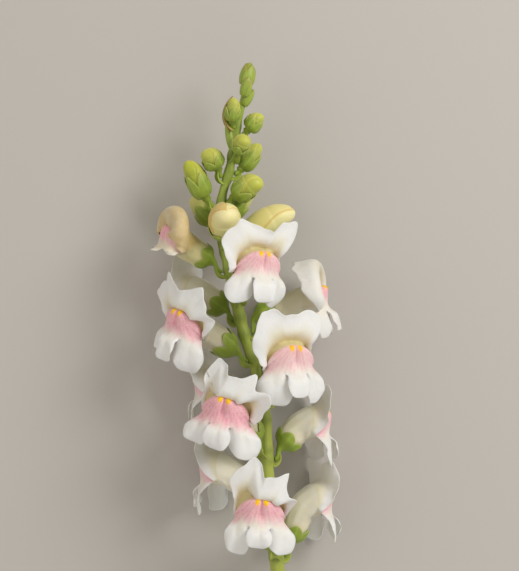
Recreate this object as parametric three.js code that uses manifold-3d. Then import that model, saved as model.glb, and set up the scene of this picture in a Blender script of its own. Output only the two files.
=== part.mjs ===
// A cut snapdragon stem lying on a surface, in millimetres, +Z up. The stem runs along +Y to its
// tip, and its front blooms face up. The petals of a bloom grow together, so each corolla is one
// closed body: tube, hooded upper lip, humped palate and three-lobed lower lip.
import * as THREE from 'three';
import { mergeVertices } from 'three/addons/utils/BufferGeometryUtils.js';
import Module from 'manifold-3d';

const wasm = await Module();
wasm.setup();

// ---- driving dimensions ---------------------------------------------------------------------
const CENTRE = [-5.9, -47.6];  // middle of the laid-down stem, seen from above
const GAP = 0.3;               // between a corolla, its calyx and the stem
const PETAL = 0.7;             // thickness of a petal blade
const SEPAL = 0.7;             // thickness of a sepal
const CUT_SLANT = 2.4;         // rise of the slanted cut across the stem
const NODE_SWELL = 0.45;       // how far a node stands out of the stem
const FLOOR_SIZE = 700;        // surface that the resting petals are pressed flat on

// The stem's axis from the cut end to the tip: place x, y, height z above the surface, width.
const STEM_LINE = [
  { y: -190.0, x: 16.0, z: 3.0, width: 6.5 },
  { y: -172.0, x: 13.2, z: 7.0, width: 6.4 },
  { y: -148.0, x: 10.4, z: 13.0, width: 6.3 },
  { y: -118.0, x: 7.4, z: 20.5, width: 6.2 },
  { y: -96.5, x: 5.4, z: 24.0, width: 6.0 },
  { y: -78.5, x: 3.2, z: 25.0, width: 5.8 },
  { y: -60.0, x: 2.4, z: 25.0, width: 5.6 },
  { y: -38.9, x: -0.6, z: 25.0, width: 5.2 },
  { y: -20.4, x: -6.8, z: 25.0, width: 5.0 },
  { y: -7.5, x: -9.9, z: 25.0, width: 5.0 },
  { y: 9.7, x: -14.0, z: 25.0, width: 4.3 },
  { y: 23.0, x: -16.5, z: 25.0, width: 3.9 },
  { y: 38.1, x: -16.1, z: 25.5, width: 3.8 },
  { y: 49.7, x: -12.9, z: 26.0, width: 3.7 },
  { y: 58.3, x: -11.4, z: 26.5, width: 3.6 },
  { y: 69.4, x: -9.5, z: 27.0, width: 3.4 },
  { y: 80.6, x: -6.7, z: 27.5, width: 2.8 },
  { y: 88.5, x: -5.4, z: 27.9, width: 2.2 },
];
const LEAF_SCARS = [-168, -147, -128];  // nodes of the bare stem, where leaves were stripped off

// The mouth of a corolla, in its own frame: +X faces out of the bloom, +Z points to the stem's
// tip, and the crest of the palate is at the origin.
const MOUTH = { x: -7.0, z: -5.6, across: 10.2, up: 7.4, lean: 0.8 };
const MOUTH_FROM = -35;        // degrees round the mouth where the upper lip starts
const MOUTH_SWEEP = 250;       // degrees that the upper lip takes
const PALATE = { half: 9.8, height: 10.0, back: 5.0, sunk: 0.6 };
const LOWER_ROOT = { half: 10.3, z: -10.4, sag: 1.4, x: -5.2, forward: 8.8 };
const CLEFTS = [0.37, 0.63];   // where the lower lip is cut into its three lobes
const CLEFT_DEPTH = 6.8;       // uncut length of the lower lip
const LIP_SPLIT = { upper: 0.22, lower: 0.3 };  // share of each lip that is grown to the palate
const TUBE_SHARES = [0, 0.03, 0.1, 0.25, 0.55, 1];
const TUBE_ACROSS = [0, 2.2, 3.9, 5.1, 6.3, MOUTH.across];
const TUBE_UP = [0, 2.3, 4.1, 5.5, 6.3, MOUTH.up];

// The lips of a bloom: lengths in mm, angles in degrees. An upper lobe peaks `at` so many degrees
// from the top of the mouth, leaves it at `start` from straight ahead and bends up to `angle`.
const LIPS = {
  middle: { length: 13.5, roof: 1.5, angle: 84, start: 6 },
  left: { length: 17.5, roof: 1.5, angle: 84, start: 6, curl: 0, at: 28 },
  right: { length: 17.5, roof: 1.5, angle: 84, start: 6, curl: 0, at: 28 },
  low: [14, 11, 14],
};
// Open blooms from the lowest up: node is the height on the stem that it grows from, crest the
// place of its palate, face how it is turned round the stem, nods down and is rolled.
const BLOOMS = [
  {
    name: 'bloom_01', node: -114.6, crest: [1, -88.6, 52],
    face: [2, 8, -5], size: 1,
    lips: {
      middle: { length: 16, roof: 5, angle: 108, start: -8 },
      left: { length: 23, roof: 4, angle: 84, start: -4, at: 12 },
      right: { length: 22, roof: 5, angle: 104, start: -8, at: 26 },
    },
  },
  {
    name: 'bloom_02', node: -117.2, crest: [27.3, -88.3, 12.1],
    face: [116, 2, 0], size: 0.96,
  },
  {
    name: 'bloom_03', node: -94.4, crest: [-21.6, -74.3, 13],
    face: [-112, 2, 0], size: 1,
  },
  {
    name: 'bloom_04', node: -70.7, crest: [-13.6, -46.1, 52],
    face: [-14, 8, -12], size: 1,
    lips: {
      middle: { length: 16, roof: 5, angle: 108, start: -8 },
      left: { length: 22.5, roof: 4, angle: 88, start: -4, at: 18 },
      right: { length: 21.5, roof: 5, angle: 104, start: -8, at: 24 },
    },
  },
  {
    name: 'bloom_05', node: -75.0, crest: [26.7, -54.1, 16],
    face: [106, 0, 4], size: 0.96,
  },
  {
    name: 'bloom_06', node: -57.8, crest: [-23.8, -37.7, 12.4],
    face: [-116, 2, 0], size: 0.98,
  },
  {
    name: 'bloom_07', node: -44.9, crest: [14, -24.8, 51],
    face: [22, 3, 2], size: 1,
    lips: {
      middle: { length: 17, angle: 96 },
      left: { length: 20.5, angle: 100 },
      right: { length: 20.5, angle: 98 },
      low: [15, 12, 16],
    },
  },
  {
    name: 'bloom_08', node: -50.1, crest: [16.8, -24.2, 11.1],
    face: [120, 2, 0], size: 0.92,
  },
  {
    name: 'bloom_09', node: -31.2, crest: [-32.6, -10.1, 40],
    face: [-42, 2, -18], size: 0.96,
    lips: {
      middle: { length: 13.5, roof: 4, angle: 102, start: -8 },
      left: { length: 19, roof: 3, angle: 94, start: -4, at: 26 },
      right: { length: 20, roof: 4, angle: 102, start: -8, at: 26 },
    },
  },
  {
    name: 'bloom_10', node: -20.9, crest: [25.2, -0.2, 23],
    face: [80, -8, 4], size: 0.9,
    lips: {
      middle: { length: 14, roof: 2, angle: 105 },
      left: { length: 17, roof: 2, angle: 110 },
      right: { length: 17, roof: 2, angle: 105 },
    },
  },
  {
    name: 'bloom_11', node: -6.2, crest: [1.3, 14.4, 50],
    face: [22, 3, -5], size: 0.94,
    lips: {
      middle: { length: 12.5, angle: 92 },
      left: { length: 20, angle: 94 },
      right: { length: 22, angle: 90, curl: -20 },
    },
  },
  {
    name: 'bloom_12', node: -14.0, crest: [-32.1, 2.4, 10.7],
    face: [-122, 0, 0], size: 0.9,
  },
  {
    name: 'bloom_13', node: 6.7, crest: [-39.1, 21.1, 31],
    face: [-62, 4, -10], size: 0.78,
    lips: {
      middle: { length: 14, roof: 4, angle: 60, start: 0 },
      left: { length: 14, roof: 4, angle: 60, start: 0, curl: -70 },
      right: { length: 14, roof: 4, angle: 60, start: 0, curl: -70 },
      low: [7, 6, 7],
    },
  },
];

// Closed buds, from the lowest up: cover is the share of the bud that its sepals reach.
const BUDS = [
  { name: 'bud_01', node: 18.3, tip: [-14.1, 32.5, 47], width: 13.2, cover: 0.36 },
  { name: 'bud_02', node: 14.4, tip: [14.9, 33, 22], width: 11.2, cover: 0.34 },
  { name: 'bud_03', node: 24.7, tip: [-28.6, 39.1, 11], width: 9.5, cover: 0.45 },
  { name: 'bud_04', node: 27.3, tip: [-4.1, 41.7, 11], width: 9.0, cover: 0.5 },
  { name: 'bud_05', node: 30.7, tip: [-30.1, 53.7, 30], width: 8.8, cover: 0.5, stalk: [6, 3.5] },
  { name: 'bud_06', node: 35.9, tip: [0.6, 45.9, 32], width: 9.6, cover: 0.5 },
  { name: 'bud_07', node: 46.2, tip: [-22.9, 58.3, 31], width: 8.6, cover: 0.55 },
  { name: 'bud_08', node: 48.8, tip: [-0.6, 61.4, 23], width: 7.2, cover: 0.7 },
  { name: 'bud_09', node: 55.7, tip: [-5.7, 63.4, 37], width: 7.6, cover: 0.55 },
  { name: 'bud_10', node: 65.1, tip: [0.2, 73.9, 28], width: 6.8, cover: 0.7 },
  { name: 'bud_11', node: 67.7, tip: [-10.4, 79.9, 33], width: 5.8, cover: 0.6, leaf: [9.5, 5.2] },
];

// Green buds at the tip that are one body with the stem.
const BUDLETS = [
  { foot: [-6.1, 85.5, 28.2], tip: [-3.9, 95.5, 28.5], width: 6.3 },
  { foot: [-6.4, 81.1, 28.8], tip: [-4.6, 89, 31.8], width: 4.8 },
  { foot: [-6.9, 77, 27.6], tip: [-2.4, 84, 28.5], width: 3.8 },
  { foot: [-11.6, 59, 26.4], tip: [-13.7, 70.3, 27.6], width: 3.8 },
];

// ---- small maths ----------------------------------------------------------------------------
const { degToRad: radians, lerp: mix, smoothstep } = THREE.MathUtils;
const point = (x, y, z) => new THREE.Vector3(x, y, z);
const along = (from, way, length) => from.clone().addScaledVector(way, length);
const unit = (v) => v.clone().normalize();

// Value at x of a table of [places] and [values], straight between its entries.
function table(x, places, values) {
  const last = places.length - 1;
  let i = 0;
  while (i < last - 1 && x > places[i + 1]) {
    i += 1;
  }
  const share = (x - places[i]) / (places[i + 1] - places[i]);
  return mix(values[i], values[i + 1], THREE.MathUtils.clamp(share, 0, 1));
}

// ---- closed skins ---------------------------------------------------------------------------
// Bands between rings of points, closed by a fan at each end. A null end leaves the last ring
// to close on itself. From ring `turned` on, squares are split the other way, so that the two
// faces of a blade are split alike.
function skin(rings, start, end, turned = Infinity) {
  const count = rings[0].length;
  const points = [...rings.flat(), start];
  const faces = [];
  for (let i = 0; i < count; i += 1) {
    const next = (i + 1) % count;
    faces.push(points.length - 1, next, i);
    for (let ring = 0; ring < rings.length - 1; ring += 1) {
      const [a, b] = [ring * count + i, ring * count + next];
      const [c, d] = [b + count, a + count];
      faces.push(...(ring < turned ? [a, b, c, a, c, d] : [a, b, d, b, c, d]));
    }
  }
  if (end) {
    const lastRing = (rings.length - 1) * count;
    points.push(end);
    for (let i = 0; i < count; i += 1) {
      faces.push(points.length - 1, lastRing + i, lastRing + ((i + 1) % count));
    }
  }
  return closed(points, faces);
}

function closed(points, faces) {
  const geometry = new THREE.BufferGeometry().setFromPoints(points);
  geometry.setIndex(faces);
  const merged = mergeVertices(geometry, 1e-4);
  const whole = [];
  for (let i = 0; i < merged.index.count; i += 3) {
    const corners = [0, 1, 2].map((k) => merged.index.getX(i + k));
    if (new Set(corners).size === 3) {
      whole.push(...corners);
    }
  }
  merged.setIndex(whole);
  if (volume(merged) < 0) {
    merged.index.array.reverse();
  }
  return merged;
}

function volume(geometry) {
  const { index } = geometry;
  const corner = [0, 1, 2].map(() => new THREE.Vector3());
  let total = 0;
  for (let i = 0; i < index.count; i += 3) {
    corner.forEach((c, k) => c.fromBufferAttribute(geometry.attributes.position, index.getX(i + k)));
    total += corner[0].dot(corner[1].clone().cross(corner[2])) / 6;
  }
  return total;
}

function toSolid(geometry) {
  return new wasm.Manifold(new wasm.Mesh({
    numProp: 3,
    vertProperties: new Float32Array(geometry.attributes.position.array),
    triVerts: new Uint32Array(geometry.index.array),
  }));
}

function toGeometry(solid) {
  const { vertProperties, triVerts } = solid.getMesh();
  const geometry = new THREE.BufferGeometry();
  geometry.setAttribute('position', new THREE.BufferAttribute(new Float32Array(vertProperties), 3));
  geometry.setIndex(new THREE.BufferAttribute(new Uint32Array(triVerts), 1));
  return geometry;
}

// What lies under the surface is pressed flat: cut away, in the frame of the given placement.
function pressFlat(geometry, placement) {
  const positions = geometry.clone().applyMatrix4(placement);
  positions.computeBoundingBox();
  if (positions.boundingBox.min.z >= 0) {
    return geometry;
  }
  const floor = new THREE.BoxGeometry(FLOOR_SIZE, FLOOR_SIZE, FLOOR_SIZE);
  floor.translate(0, 0, -FLOOR_SIZE / 2);
  floor.applyMatrix4(placement.clone().invert());
  floor.deleteAttribute('normal');
  floor.deleteAttribute('uv');
  return toGeometry(toSolid(geometry).subtract(toSolid(mergeVertices(floor, 1e-3))));
}

// ---- corolla --------------------------------------------------------------------------------
const upperAngle = (arch) => radians(MOUTH_FROM + MOUTH_SWEEP * arch);
const lowerAngle = (arch) => radians(MOUTH_FROM - (360 - MOUTH_SWEEP) * arch);

function mouthPoint(angle) {
  const lean = MOUTH.x + MOUTH.lean * Math.sin(angle);
  return point(lean, MOUTH.across * Math.cos(angle), MOUTH.z + MOUTH.up * Math.sin(angle));
}

const LOBE_WIDTH = 15;
const LOBE_TURN = 8;
const SIDE_LENGTH = 1.6;
const SIDE_START = 15;
const SIDE_ANGLE = 45;
const CORNER_ANGLE = 80;
const BEND_LENGTH = 7.5;       // arc over which the upper lip bends up
const LOBE_SPREAD = 0.42;      // how far the lower lip fans out, and each edge's share of that
const LOBE_FAN = [-1, -0.3, 0.3, 1];
const STEPS = 16;

function hoodLength(turn, lips) {
  const away = Math.abs(turn);
  const lobe = turn < 0 ? lips.right : lips.left;
  const fall = radians(THREE.MathUtils.clamp(((away - 6) * 90) / 121, 0, 90));
  const side = SIDE_LENGTH + (lips.middle.length - SIDE_LENGTH) * Math.cos(fall) ** 1.3;
  const width = away < lobe.at ? LOBE_WIDTH : LOBE_WIDTH * 1.35;
  const peak = Math.exp(-((Math.abs(away - lobe.at) / width) ** 1.5));
  return side + (lobe.length - lips.middle.length) * peak;
}

// Outer face of the upper lip and its way in: the blade leaves the mouth forward, then bends up.
function hoodPoint(arch, share, lips) {
  const angle = upperAngle(arch);
  const turn = MOUTH_FROM + MOUTH_SWEEP * arch - 90;
  const away = Math.abs(turn);
  const lobe = turn < 0 ? lips.right : lips.left;
  const toLobe = smoothstep(away, 0, lobe.at);
  const aside = smoothstep(away, 42, 100);
  const corner = smoothstep(away, 98, 125);
  const near = Math.exp(-(((away - lobe.at) / 20) ** 2));
  const sideStart = mix(SIDE_START, CORNER_ANGLE, corner);
  const sideEnd = mix(SIDE_ANGLE, CORNER_ANGLE, corner);
  const start = mix(mix(lips.middle.start, lobe.start, toLobe), sideStart, aside);
  const end = mix(mix(lips.middle.angle, lobe.angle, toLobe), sideEnd, aside) + LOBE_TURN * near;
  const roof = mix(mix(lips.middle.roof, lobe.roof, toLobe), 0.5, aside);
  const length = hoodLength(turn, lips);
  const step = (share * length) / STEPS;
  const slopeAt = (reach) => {
    const bent = smoothstep(reach, roof, roof + BEND_LENGTH);
    const curled = Math.max(0, reach / length - 0.5) ** 2 * 4;
    return radians(mix(start, end, bent) + lobe.curl * curled * near);
  };
  const place = mouthPoint(angle);
  const out = point(0, Math.cos(angle), Math.sin(angle));
  for (let i = 0.5; i < STEPS; i += 1) {
    place.x += Math.cos(slopeAt(i * step)) * step;
    place.addScaledVector(out, Math.sin(slopeAt(i * step)) * step);
  }
  const slope = slopeAt(share * length);
  const inward = point(Math.sin(slope), 0, 0).addScaledVector(out, -Math.cos(slope));
  return { place, inward };
}

function lowerRoot(arch) {
  const turn = Math.PI * arch;
  return point(
    LOWER_ROOT.x + LOWER_ROOT.forward * Math.sin(turn),
    LOWER_ROOT.half * Math.cos(turn),
    LOWER_ROOT.z - LOWER_ROOT.sag * Math.sin(turn),
  );
}

// Which lobe of the lower lip, 0 to 2, and where across it, -1 to 1.
function lobePlace(arch) {
  const edges = [0, ...CLEFTS, 1];
  const lobe = arch < CLEFTS[0] ? 0 : (arch > CLEFTS[1] ? 2 : 1);
  return [lobe, ((arch - edges[lobe]) / (edges[lobe + 1] - edges[lobe])) * 2 - 1];
}

function lowerLength(arch, lips) {
  const [lobe, place] = lobePlace(arch);
  const round = Math.max(0, 1 - Math.abs(place) ** 3) ** 0.45;
  const atCorner = (lobe === 0 && place < 0) || (lobe === 2 && place > 0);
  const uncut = atCorner ? 1.6 : CLEFT_DEPTH;
  return uncut + (lips.low[lobe] - uncut) * round;
}

// Way that the lower lip takes at a distance from its root, and its way in: it drops off the
// palate, lifts out, then hangs.
function lowerWay(arch, distance) {
  const turn = Math.PI * arch;
  const outward = table(arch, [0, ...CLEFTS, 1], LOBE_FAN);
  const ahead = unit(point(0.6 + 0.4 * Math.sin(turn), 0.5 * Math.cos(turn), 0));
  const rim = unit(point(
    LOWER_ROOT.forward * Math.cos(turn),
    -LOWER_ROOT.half * Math.sin(turn),
    0,
  ));
  const down = unit(point(0, 0.1 * Math.cos(turn), -1).addScaledVector(rim, LOBE_SPREAD * outward));
  const lift = 84 - 24 * smoothstep(distance, 0, 6) + 30 * smoothstep(distance, 6, 15);
  const slope = radians(lift);
  const way = ahead.clone().multiplyScalar(Math.cos(slope)).addScaledVector(down, Math.sin(slope));
  const inward = ahead.multiplyScalar(Math.sin(slope)).addScaledVector(down, -Math.cos(slope));
  return { way, inward: unit(inward) };
}

function lobePoint(arch, share, lips) {
  const reach = share * lowerLength(arch, lips);
  const step = reach / STEPS;
  const place = lowerRoot(arch);
  for (let i = 0.5; i < STEPS; i += 1) {
    place.addScaledVector(lowerWay(arch, i * step).way, step);
  }
  const [lobe, across] = lobePlace(arch);
  if (lobe === 1) {
    place.x += smoothstep(reach, 3, 8) * (1 - across ** 4);
  }
  return { place, inward: lowerWay(arch, reach).inward };
}

// Outer face of the lower lip: under the palate from the mouth to the root, then the lobes.
function lowerPoint(arch, share, lips) {
  const split = LIP_SPLIT.lower;
  if (share >= split) {
    return lobePoint(arch, (share - split) / (1 - split), lips);
  }
  const from = mouthPoint(lowerAngle(arch));
  const to = lowerRoot(arch);
  const under = new THREE.CubicBezierCurve3(
    from,
    along(from, point(1, 0, 0), 3),
    along(to, lowerWay(arch, 0).way, -2.5),
    to,
  );
  return { place: under.getPoint(share / split) };
}

const lipPoint = (upper, arch, share, lips) => (upper ? hoodPoint : lowerPoint)(arch, share, lips);

// Inner face of a lip: a petal's thickness off its outer face, on the side of the mouth.
function innerPoint(upper, arch, share, lips) {
  const { place, inward } = lipPoint(upper, arch, share, lips);
  return along(place, inward, PETAL);
}

// Crest line of the palate, from one corner of the mouth over the top to the other.
function palateCrest(arch) {
  const turn = Math.PI * arch;
  return point(
    -PALATE.back * Math.cos(turn) ** 2 - PALATE.sunk,
    PALATE.half * Math.cos(turn),
    PALATE.height * (Math.sin(turn) - 1),
  );
}

// Front of the bloom between the crest and where the lip comes free, 1 at the lip, 0 at the crest.
function frontPoint(upper, arch, share, lips) {
  const split = upper ? LIP_SPLIT.upper : LIP_SPLIT.lower;
  const turn = Math.PI * arch;
  const crest = palateCrest(arch);
  const lip = innerPoint(upper, arch, split, lips);
  const further = lipPoint(upper, arch, split + 2e-3, lips).place;
  const reach = unit(further.sub(lipPoint(upper, arch, split, lips).place));
  const bulge = 4 + 5 * Math.sin(turn);
  const off = upper
    ? point(0.1, 0.5 * Math.cos(turn), 0.5 * Math.sin(turn))
    : point(1, 0.35 * Math.cos(turn), 0.12 * Math.sin(turn)).multiplyScalar(bulge);
  const back = upper ? 0.8 : 3 + 2 * Math.sin(turn);
  const curve = new THREE.CubicBezierCurve3(crest, crest.clone().add(off), along(lip, reach, -back), lip);
  const place = curve.getPoint(share);
  if (!upper) {
    const groove = 1.6 * Math.exp(-((place.y / 1.6) ** 2));
    place.x -= groove * Math.sin(Math.PI * share ** 0.7);
  }
  return place;
}

// Shares of the arch at which a corolla has its columns of points, closer at the clefts.
function archShares(counts) {
  const edges = [0, ...CLEFTS, 1];
  const shares = counts.flatMap((count, lobe) => Array.from({ length: count }, (_, i) => {
    const even = i / count;
    const eased = (even + (1 - Math.cos(Math.PI * even)) / 2) / 2;
    return mix(edges[lobe], edges[lobe + 1], eased);
  }));
  return [...shares, 1];
}

const ARCH_COUNTS = [5, 3, 5];
const SHEET_SHARES = [0, 0.3, 0.65, 1];
const FRONT_SHARES = [0.5, 0];

const TUBE_END = unit(point(0.9, 0, 0.43));  // way that a tube takes where it reaches the mouth

// Section of a flower's tube, `off` mm outside its skin. An open tube turns to face its mouth.
function tubePoint(share, angle, tube, off = 0) {
  const middle = tube.line.getPoint(share);
  const facing = tube.face ? smoothstep(share, 0.5, 1) : 0;
  const ahead = unit(tube.line.getTangent(share).lerp(tube.face ?? middle, facing));
  const side = unit(along(tube.side, ahead, -ahead.dot(tube.side)));
  const up = ahead.clone().cross(side);
  const across = table(share, tube.shares, tube.across) + off;
  const high = table(share, tube.shares, tube.up) + off;
  middle.addScaledVector(side, across * Math.cos(angle)).addScaledVector(up, high * Math.sin(angle));
  middle.x += facing ** 3 * (tube.lean ?? 0) * Math.sin(angle);
  return middle;
}

function corollaTube(foot, lifted) {
  const mouth = point(MOUTH.x, 0, MOUTH.z);
  const span = mouth.clone().sub(foot);
  const handle = span.length() * 0.38;
  return {
    line: new THREE.CubicBezierCurve3(
      foot,
      along(foot, unit(along(lifted, unit(span), 2)), handle),
      along(mouth, unit(along(TUBE_END, unit(span), 0.6)), -handle),
      mouth,
    ),
    shares: TUBE_SHARES,
    across: TUBE_ACROSS,
    up: TUBE_UP,
    lean: MOUTH.lean,
    side: point(0, 1, 0),
    face: point(1, 0, 0),
  };
}

function corolla(tube, lips) {
  const arch = archShares(ARCH_COUNTS);
  const columns = [
    ...arch.map((share) => ({ upper: true, share, angle: upperAngle(share) })),
    ...arch.slice(1, -1).reverse().map((share) => ({ upper: false, share, angle: lowerAngle(share) })),
  ];
  // The lips grow together at the corners of the mouth, so there a column ends in one point.
  const lipRing = (place) => columns.map((c) => {
    const split = c.upper ? LIP_SPLIT.upper : LIP_SPLIT.lower;
    return c.share % 1 === 0 ? palateCrest(c.share) : place(c.upper, c.share, split);
  });
  const outer = (share) => lipRing((upper, at, from) => lipPoint(upper, at, mix(from, 1, share), lips).place);
  const inner = (share) => lipRing((upper, at, from) => innerPoint(upper, at, mix(from, 1, share), lips));
  const rings = [
    ...TUBE_SHARES.slice(1).map((share) => columns.map((c) => tubePoint(share, c.angle, tube))),
    ...SHEET_SHARES.map(outer),
  ];
  const turned = rings.length;
  rings.push(...SHEET_SHARES.toReversed().map(inner));
  rings.push(...FRONT_SHARES.map((share) => lipRing((upper, at) => frontPoint(upper, at, share, lips))));
  return skin(rings, tube.line.getPoint(0), null, turned);
}

// ---- calyx and bud --------------------------------------------------------------------------
const SEPALS = 5;
const CUP_SHARES = [0.03, 0.1];  // shares of the tube where the hollow and the wide part begin
const SEPAL_VALLEY = 0.23;       // share of the tube that the sepals cover between their tips
const FACET_ROOM = 1.15;         // the calyx has few sides, so it stands this much wider
const CUP_FLARE = 0.7;           // how far the sepals' tips stand off the tube
const PEDICEL_WIDTHS = [2, 2.2, 2.4, 4];

// Five sepals grown together at the foot of a tube, on a pedicel that comes from the stem.
function calyx(tube, stemPoint, stemWay, cover) {
  const foot = tube.line.getPoint(0);
  const way = unit(tube.line.getTangent(0));
  const span = foot.distanceTo(stemPoint);
  const radii = PEDICEL_WIDTHS.map((width) => width / 2);
  const pedicel = {
    line: new THREE.CubicBezierCurve3(
      stemPoint,
      along(stemPoint, stemWay, span * 0.35),
      along(foot, way, -span * 0.4),
      along(foot, way, -0.6),
    ),
    shares: [0, 0.35, 0.75, 1],
    across: radii,
    up: radii,
    side: tube.side,
  };
  const columns = Array.from({ length: SEPALS * 2 }, (_, i) => ({
    angle: radians(90 + (i * 180) / SEPALS),
    tip: i % 2 === 0 ? cover : SEPAL_VALLEY,
  }));
  const cup = (level, off) => columns.map(({ angle, tip }) => {
    const share = level < 0 ? CUP_SHARES[0] : mix(CUP_SHARES[1], tip, level);
    const room = tubePoint(share, angle, tube, 0).sub(tube.line.getPoint(share)).length();
    const flare = CUP_FLARE * Math.max(0, level) ** 2;
    return tubePoint(share, angle, tube, off + room * (FACET_ROOM - 1) + flare);
  });
  const rings = [
    ...[0, 0.7].map((share) => columns.map((c) => tubePoint(share, c.angle, pedicel))),
    ...[0, 0.47, 1].map((level) => cup(level, GAP + SEPAL)),
  ];
  const turned = rings.length;
  rings.push(...[1, 0.47, 0, -1].map((level) => cup(level, GAP)));
  return skin(rings, stemPoint, along(foot, way, -GAP * 1.5), turned);
}

const BUD_SHARES = [0, 0.05, 0.18, 0.45, 0.75, 0.93];
const BUD_WIDTHS = [0, 0.42, 0.8, 1, 0.94, 0.58];
const BUD_SIDES = 12;
const BUD_FOLD = 0.12;         // how deep the folds between the closed lips are

function budTube(foot, tip, width, way, out) {
  const length = foot.distanceTo(tip);
  const line = new THREE.QuadraticBezierCurve3(foot, along(foot, way, length * 0.4), tip);
  const widths = BUD_WIDTHS.map((share) => (share * width) / 2);
  const side = unit(way.clone().cross(out));
  return { line, shares: BUD_SHARES, across: widths, up: widths, side };
}

// A closed bud: an egg whose lips are folded over each other towards the tip.
function bud(tube, width, sides) {
  const rings = BUD_SHARES.slice(1).map((share) => Array.from({ length: sides }, (_, i) => {
    const angle = radians((i * 360) / sides);
    const fold = i % 4 === 1 ? -BUD_FOLD * smoothstep(share, 0.3, 0.8) : 0;
    return tubePoint(share, angle, tube, (fold * width) / 2);
  }));
  return skin(rings, tube.line.getPoint(0), tube.line.getPoint(1));
}

// ---- stem -----------------------------------------------------------------------------------
// Smooth place and width of the stem at height y along it.
function stemAt(y) {
  const last = STEM_LINE.length - 1;
  const before = STEM_LINE.findLastIndex((entry) => entry.y <= y);
  const i = THREE.MathUtils.clamp(before, 0, last - 1);
  const [from, to] = [STEM_LINE[i], STEM_LINE[i + 1]];
  const span = to.y - from.y;
  const t = (y - from.y) / span;
  const smooth = (key) => {
    const slope = (k) => {
      const [a, b] = [STEM_LINE[Math.max(0, k - 1)], STEM_LINE[Math.min(last, k + 1)]];
      return (b[key] - a[key]) / (b.y - a.y);
    };
    return (2 * t ** 3 - 3 * t ** 2 + 1) * from[key] + (t ** 3 - 2 * t ** 2 + t) * span * slope(i)
      + (3 * t ** 2 - 2 * t ** 3) * to[key] + (t ** 3 - t ** 2) * span * slope(i + 1);
  };
  return { middle: point(smooth('x'), y, smooth('z')), radius: smooth('width') / 2 };
}

function stemFrame(y) {
  const { middle, radius } = stemAt(y);
  const ahead = unit(stemAt(y + 0.5).middle.sub(stemAt(y - 0.5).middle));
  const side = unit(along(point(1, 0, 0), ahead, -ahead.x));
  return { middle, radius, ahead, side, up: side.clone().cross(ahead) };
}

// Place on the stem's skin at height y, on the side that a flower grows from, and the way out.
function stemSkin(y, towards, off = 0) {
  const frame = stemFrame(y);
  const out = towards.clone().sub(frame.middle);
  out.addScaledVector(frame.ahead, -out.dot(frame.ahead)).normalize();
  const place = along(frame.middle, out, frame.radius + NODE_SWELL + off);
  return { place, out, frame };
}

const STEM_SIDES = 8;
const STEM_STEP = 16;

function stemRings(nodes) {
  const [bottom, top] = [STEM_LINE[0].y, STEM_LINE.at(-1).y];
  const heights = [bottom, ...nodes, top];
  const spaced = heights.flatMap((y, i) => {
    const next = heights[i + 1] ?? y;
    const count = next - y > 4 ? 2 * Math.ceil((next - y) / STEM_STEP) : 1;
    return Array.from({ length: count }, (_, k) => y + ((next - y) * k) / count);
  });
  const kept = [...spaced, top].filter((y, i, all) => i === 0 || y - all[i - 1] > 1.5);
  return kept.map((y) => {
    const { middle, radius, ahead, side, up } = stemFrame(y);
    const swell = Math.max(...nodes.map((node) => Math.exp(-(((y - node) / 2) ** 2))));
    const slant = y === bottom ? CUT_SLANT / 2 : 0;
    return Array.from({ length: STEM_SIDES }, (_, i) => {
      const angle = radians((i * 360) / STEM_SIDES);
      const wide = radius + NODE_SWELL * swell;
      return middle.clone()
        .addScaledVector(side, wide * Math.cos(angle))
        .addScaledVector(up, wide * Math.sin(angle))
        .addScaledVector(ahead, slant * Math.sin(angle));
    });
  });
}

// A bract or a scale: a pointed blade that curves from its root along a line.
const BRACT_SHARES = [0, 0.4, 0.8];
const BRACT_WIDTHS = [0.7, 1, 0.5];
const BRACT_THICK = 0.9;

function bract(root, out, ahead, length, width, lift) {
  const side = unit(out.clone().cross(ahead));
  const rings = BRACT_SHARES.map((share, i) => {
    const slope = radians(mix(lift, lift * 0.8, share));
    const way = out.clone().multiplyScalar(Math.sin(slope)).addScaledVector(ahead, Math.cos(slope));
    const off = ahead.clone().multiplyScalar(-Math.sin(slope)).addScaledVector(out, Math.cos(slope));
    const middle = along(root, way, share * length);
    const half = (BRACT_WIDTHS[i] * width) / 2;
    const thick = BRACT_THICK * (1 - 0.3 * share);
    return [
      along(middle, side, half),
      along(middle, off, thick * 0.7),
      along(middle, side, -half),
      along(middle, off, -thick * 0.3),
    ];
  });
  const slope = radians(lift * 0.8);
  const tip = along(root, out, Math.sin(slope) * length).addScaledVector(ahead, Math.cos(slope) * length);
  return skin(rings, along(root, out, -0.2), tip);
}

// ---- assembly -------------------------------------------------------------------------------
const BLOOM_FOOT = [3.4, 5];   // how far the foot of a bloom stands out and up from its node
const SEPAL_COVER = 0.42;
const BRACT_SIZE = [5.4, 3.4];  // length and width
const BUDLET_SIDES = 8;
const GREEN = { color: 0x86a83a, roughness: 0.55, metalness: 0 };
const SEPAL_GREEN = { color: 0x7fa636, roughness: 0.6, metalness: 0 };
const WHITE = { color: 0xf3efe8, roughness: 0.65, metalness: 0 };
const GREEN_FROM = 30;         // buds that grow higher on the stem than this are still green
const YOUNG = { color: 0xb7c24a, roughness: 0.6, metalness: 0 };
const CREAM = { color: 0xe6dc9c, roughness: 0.65, metalness: 0 };

function part(name, geometry, look) {
  const mesh = new THREE.Mesh(geometry, new THREE.MeshStandardMaterial(look));
  mesh.name = name;
  return mesh;
}

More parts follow.
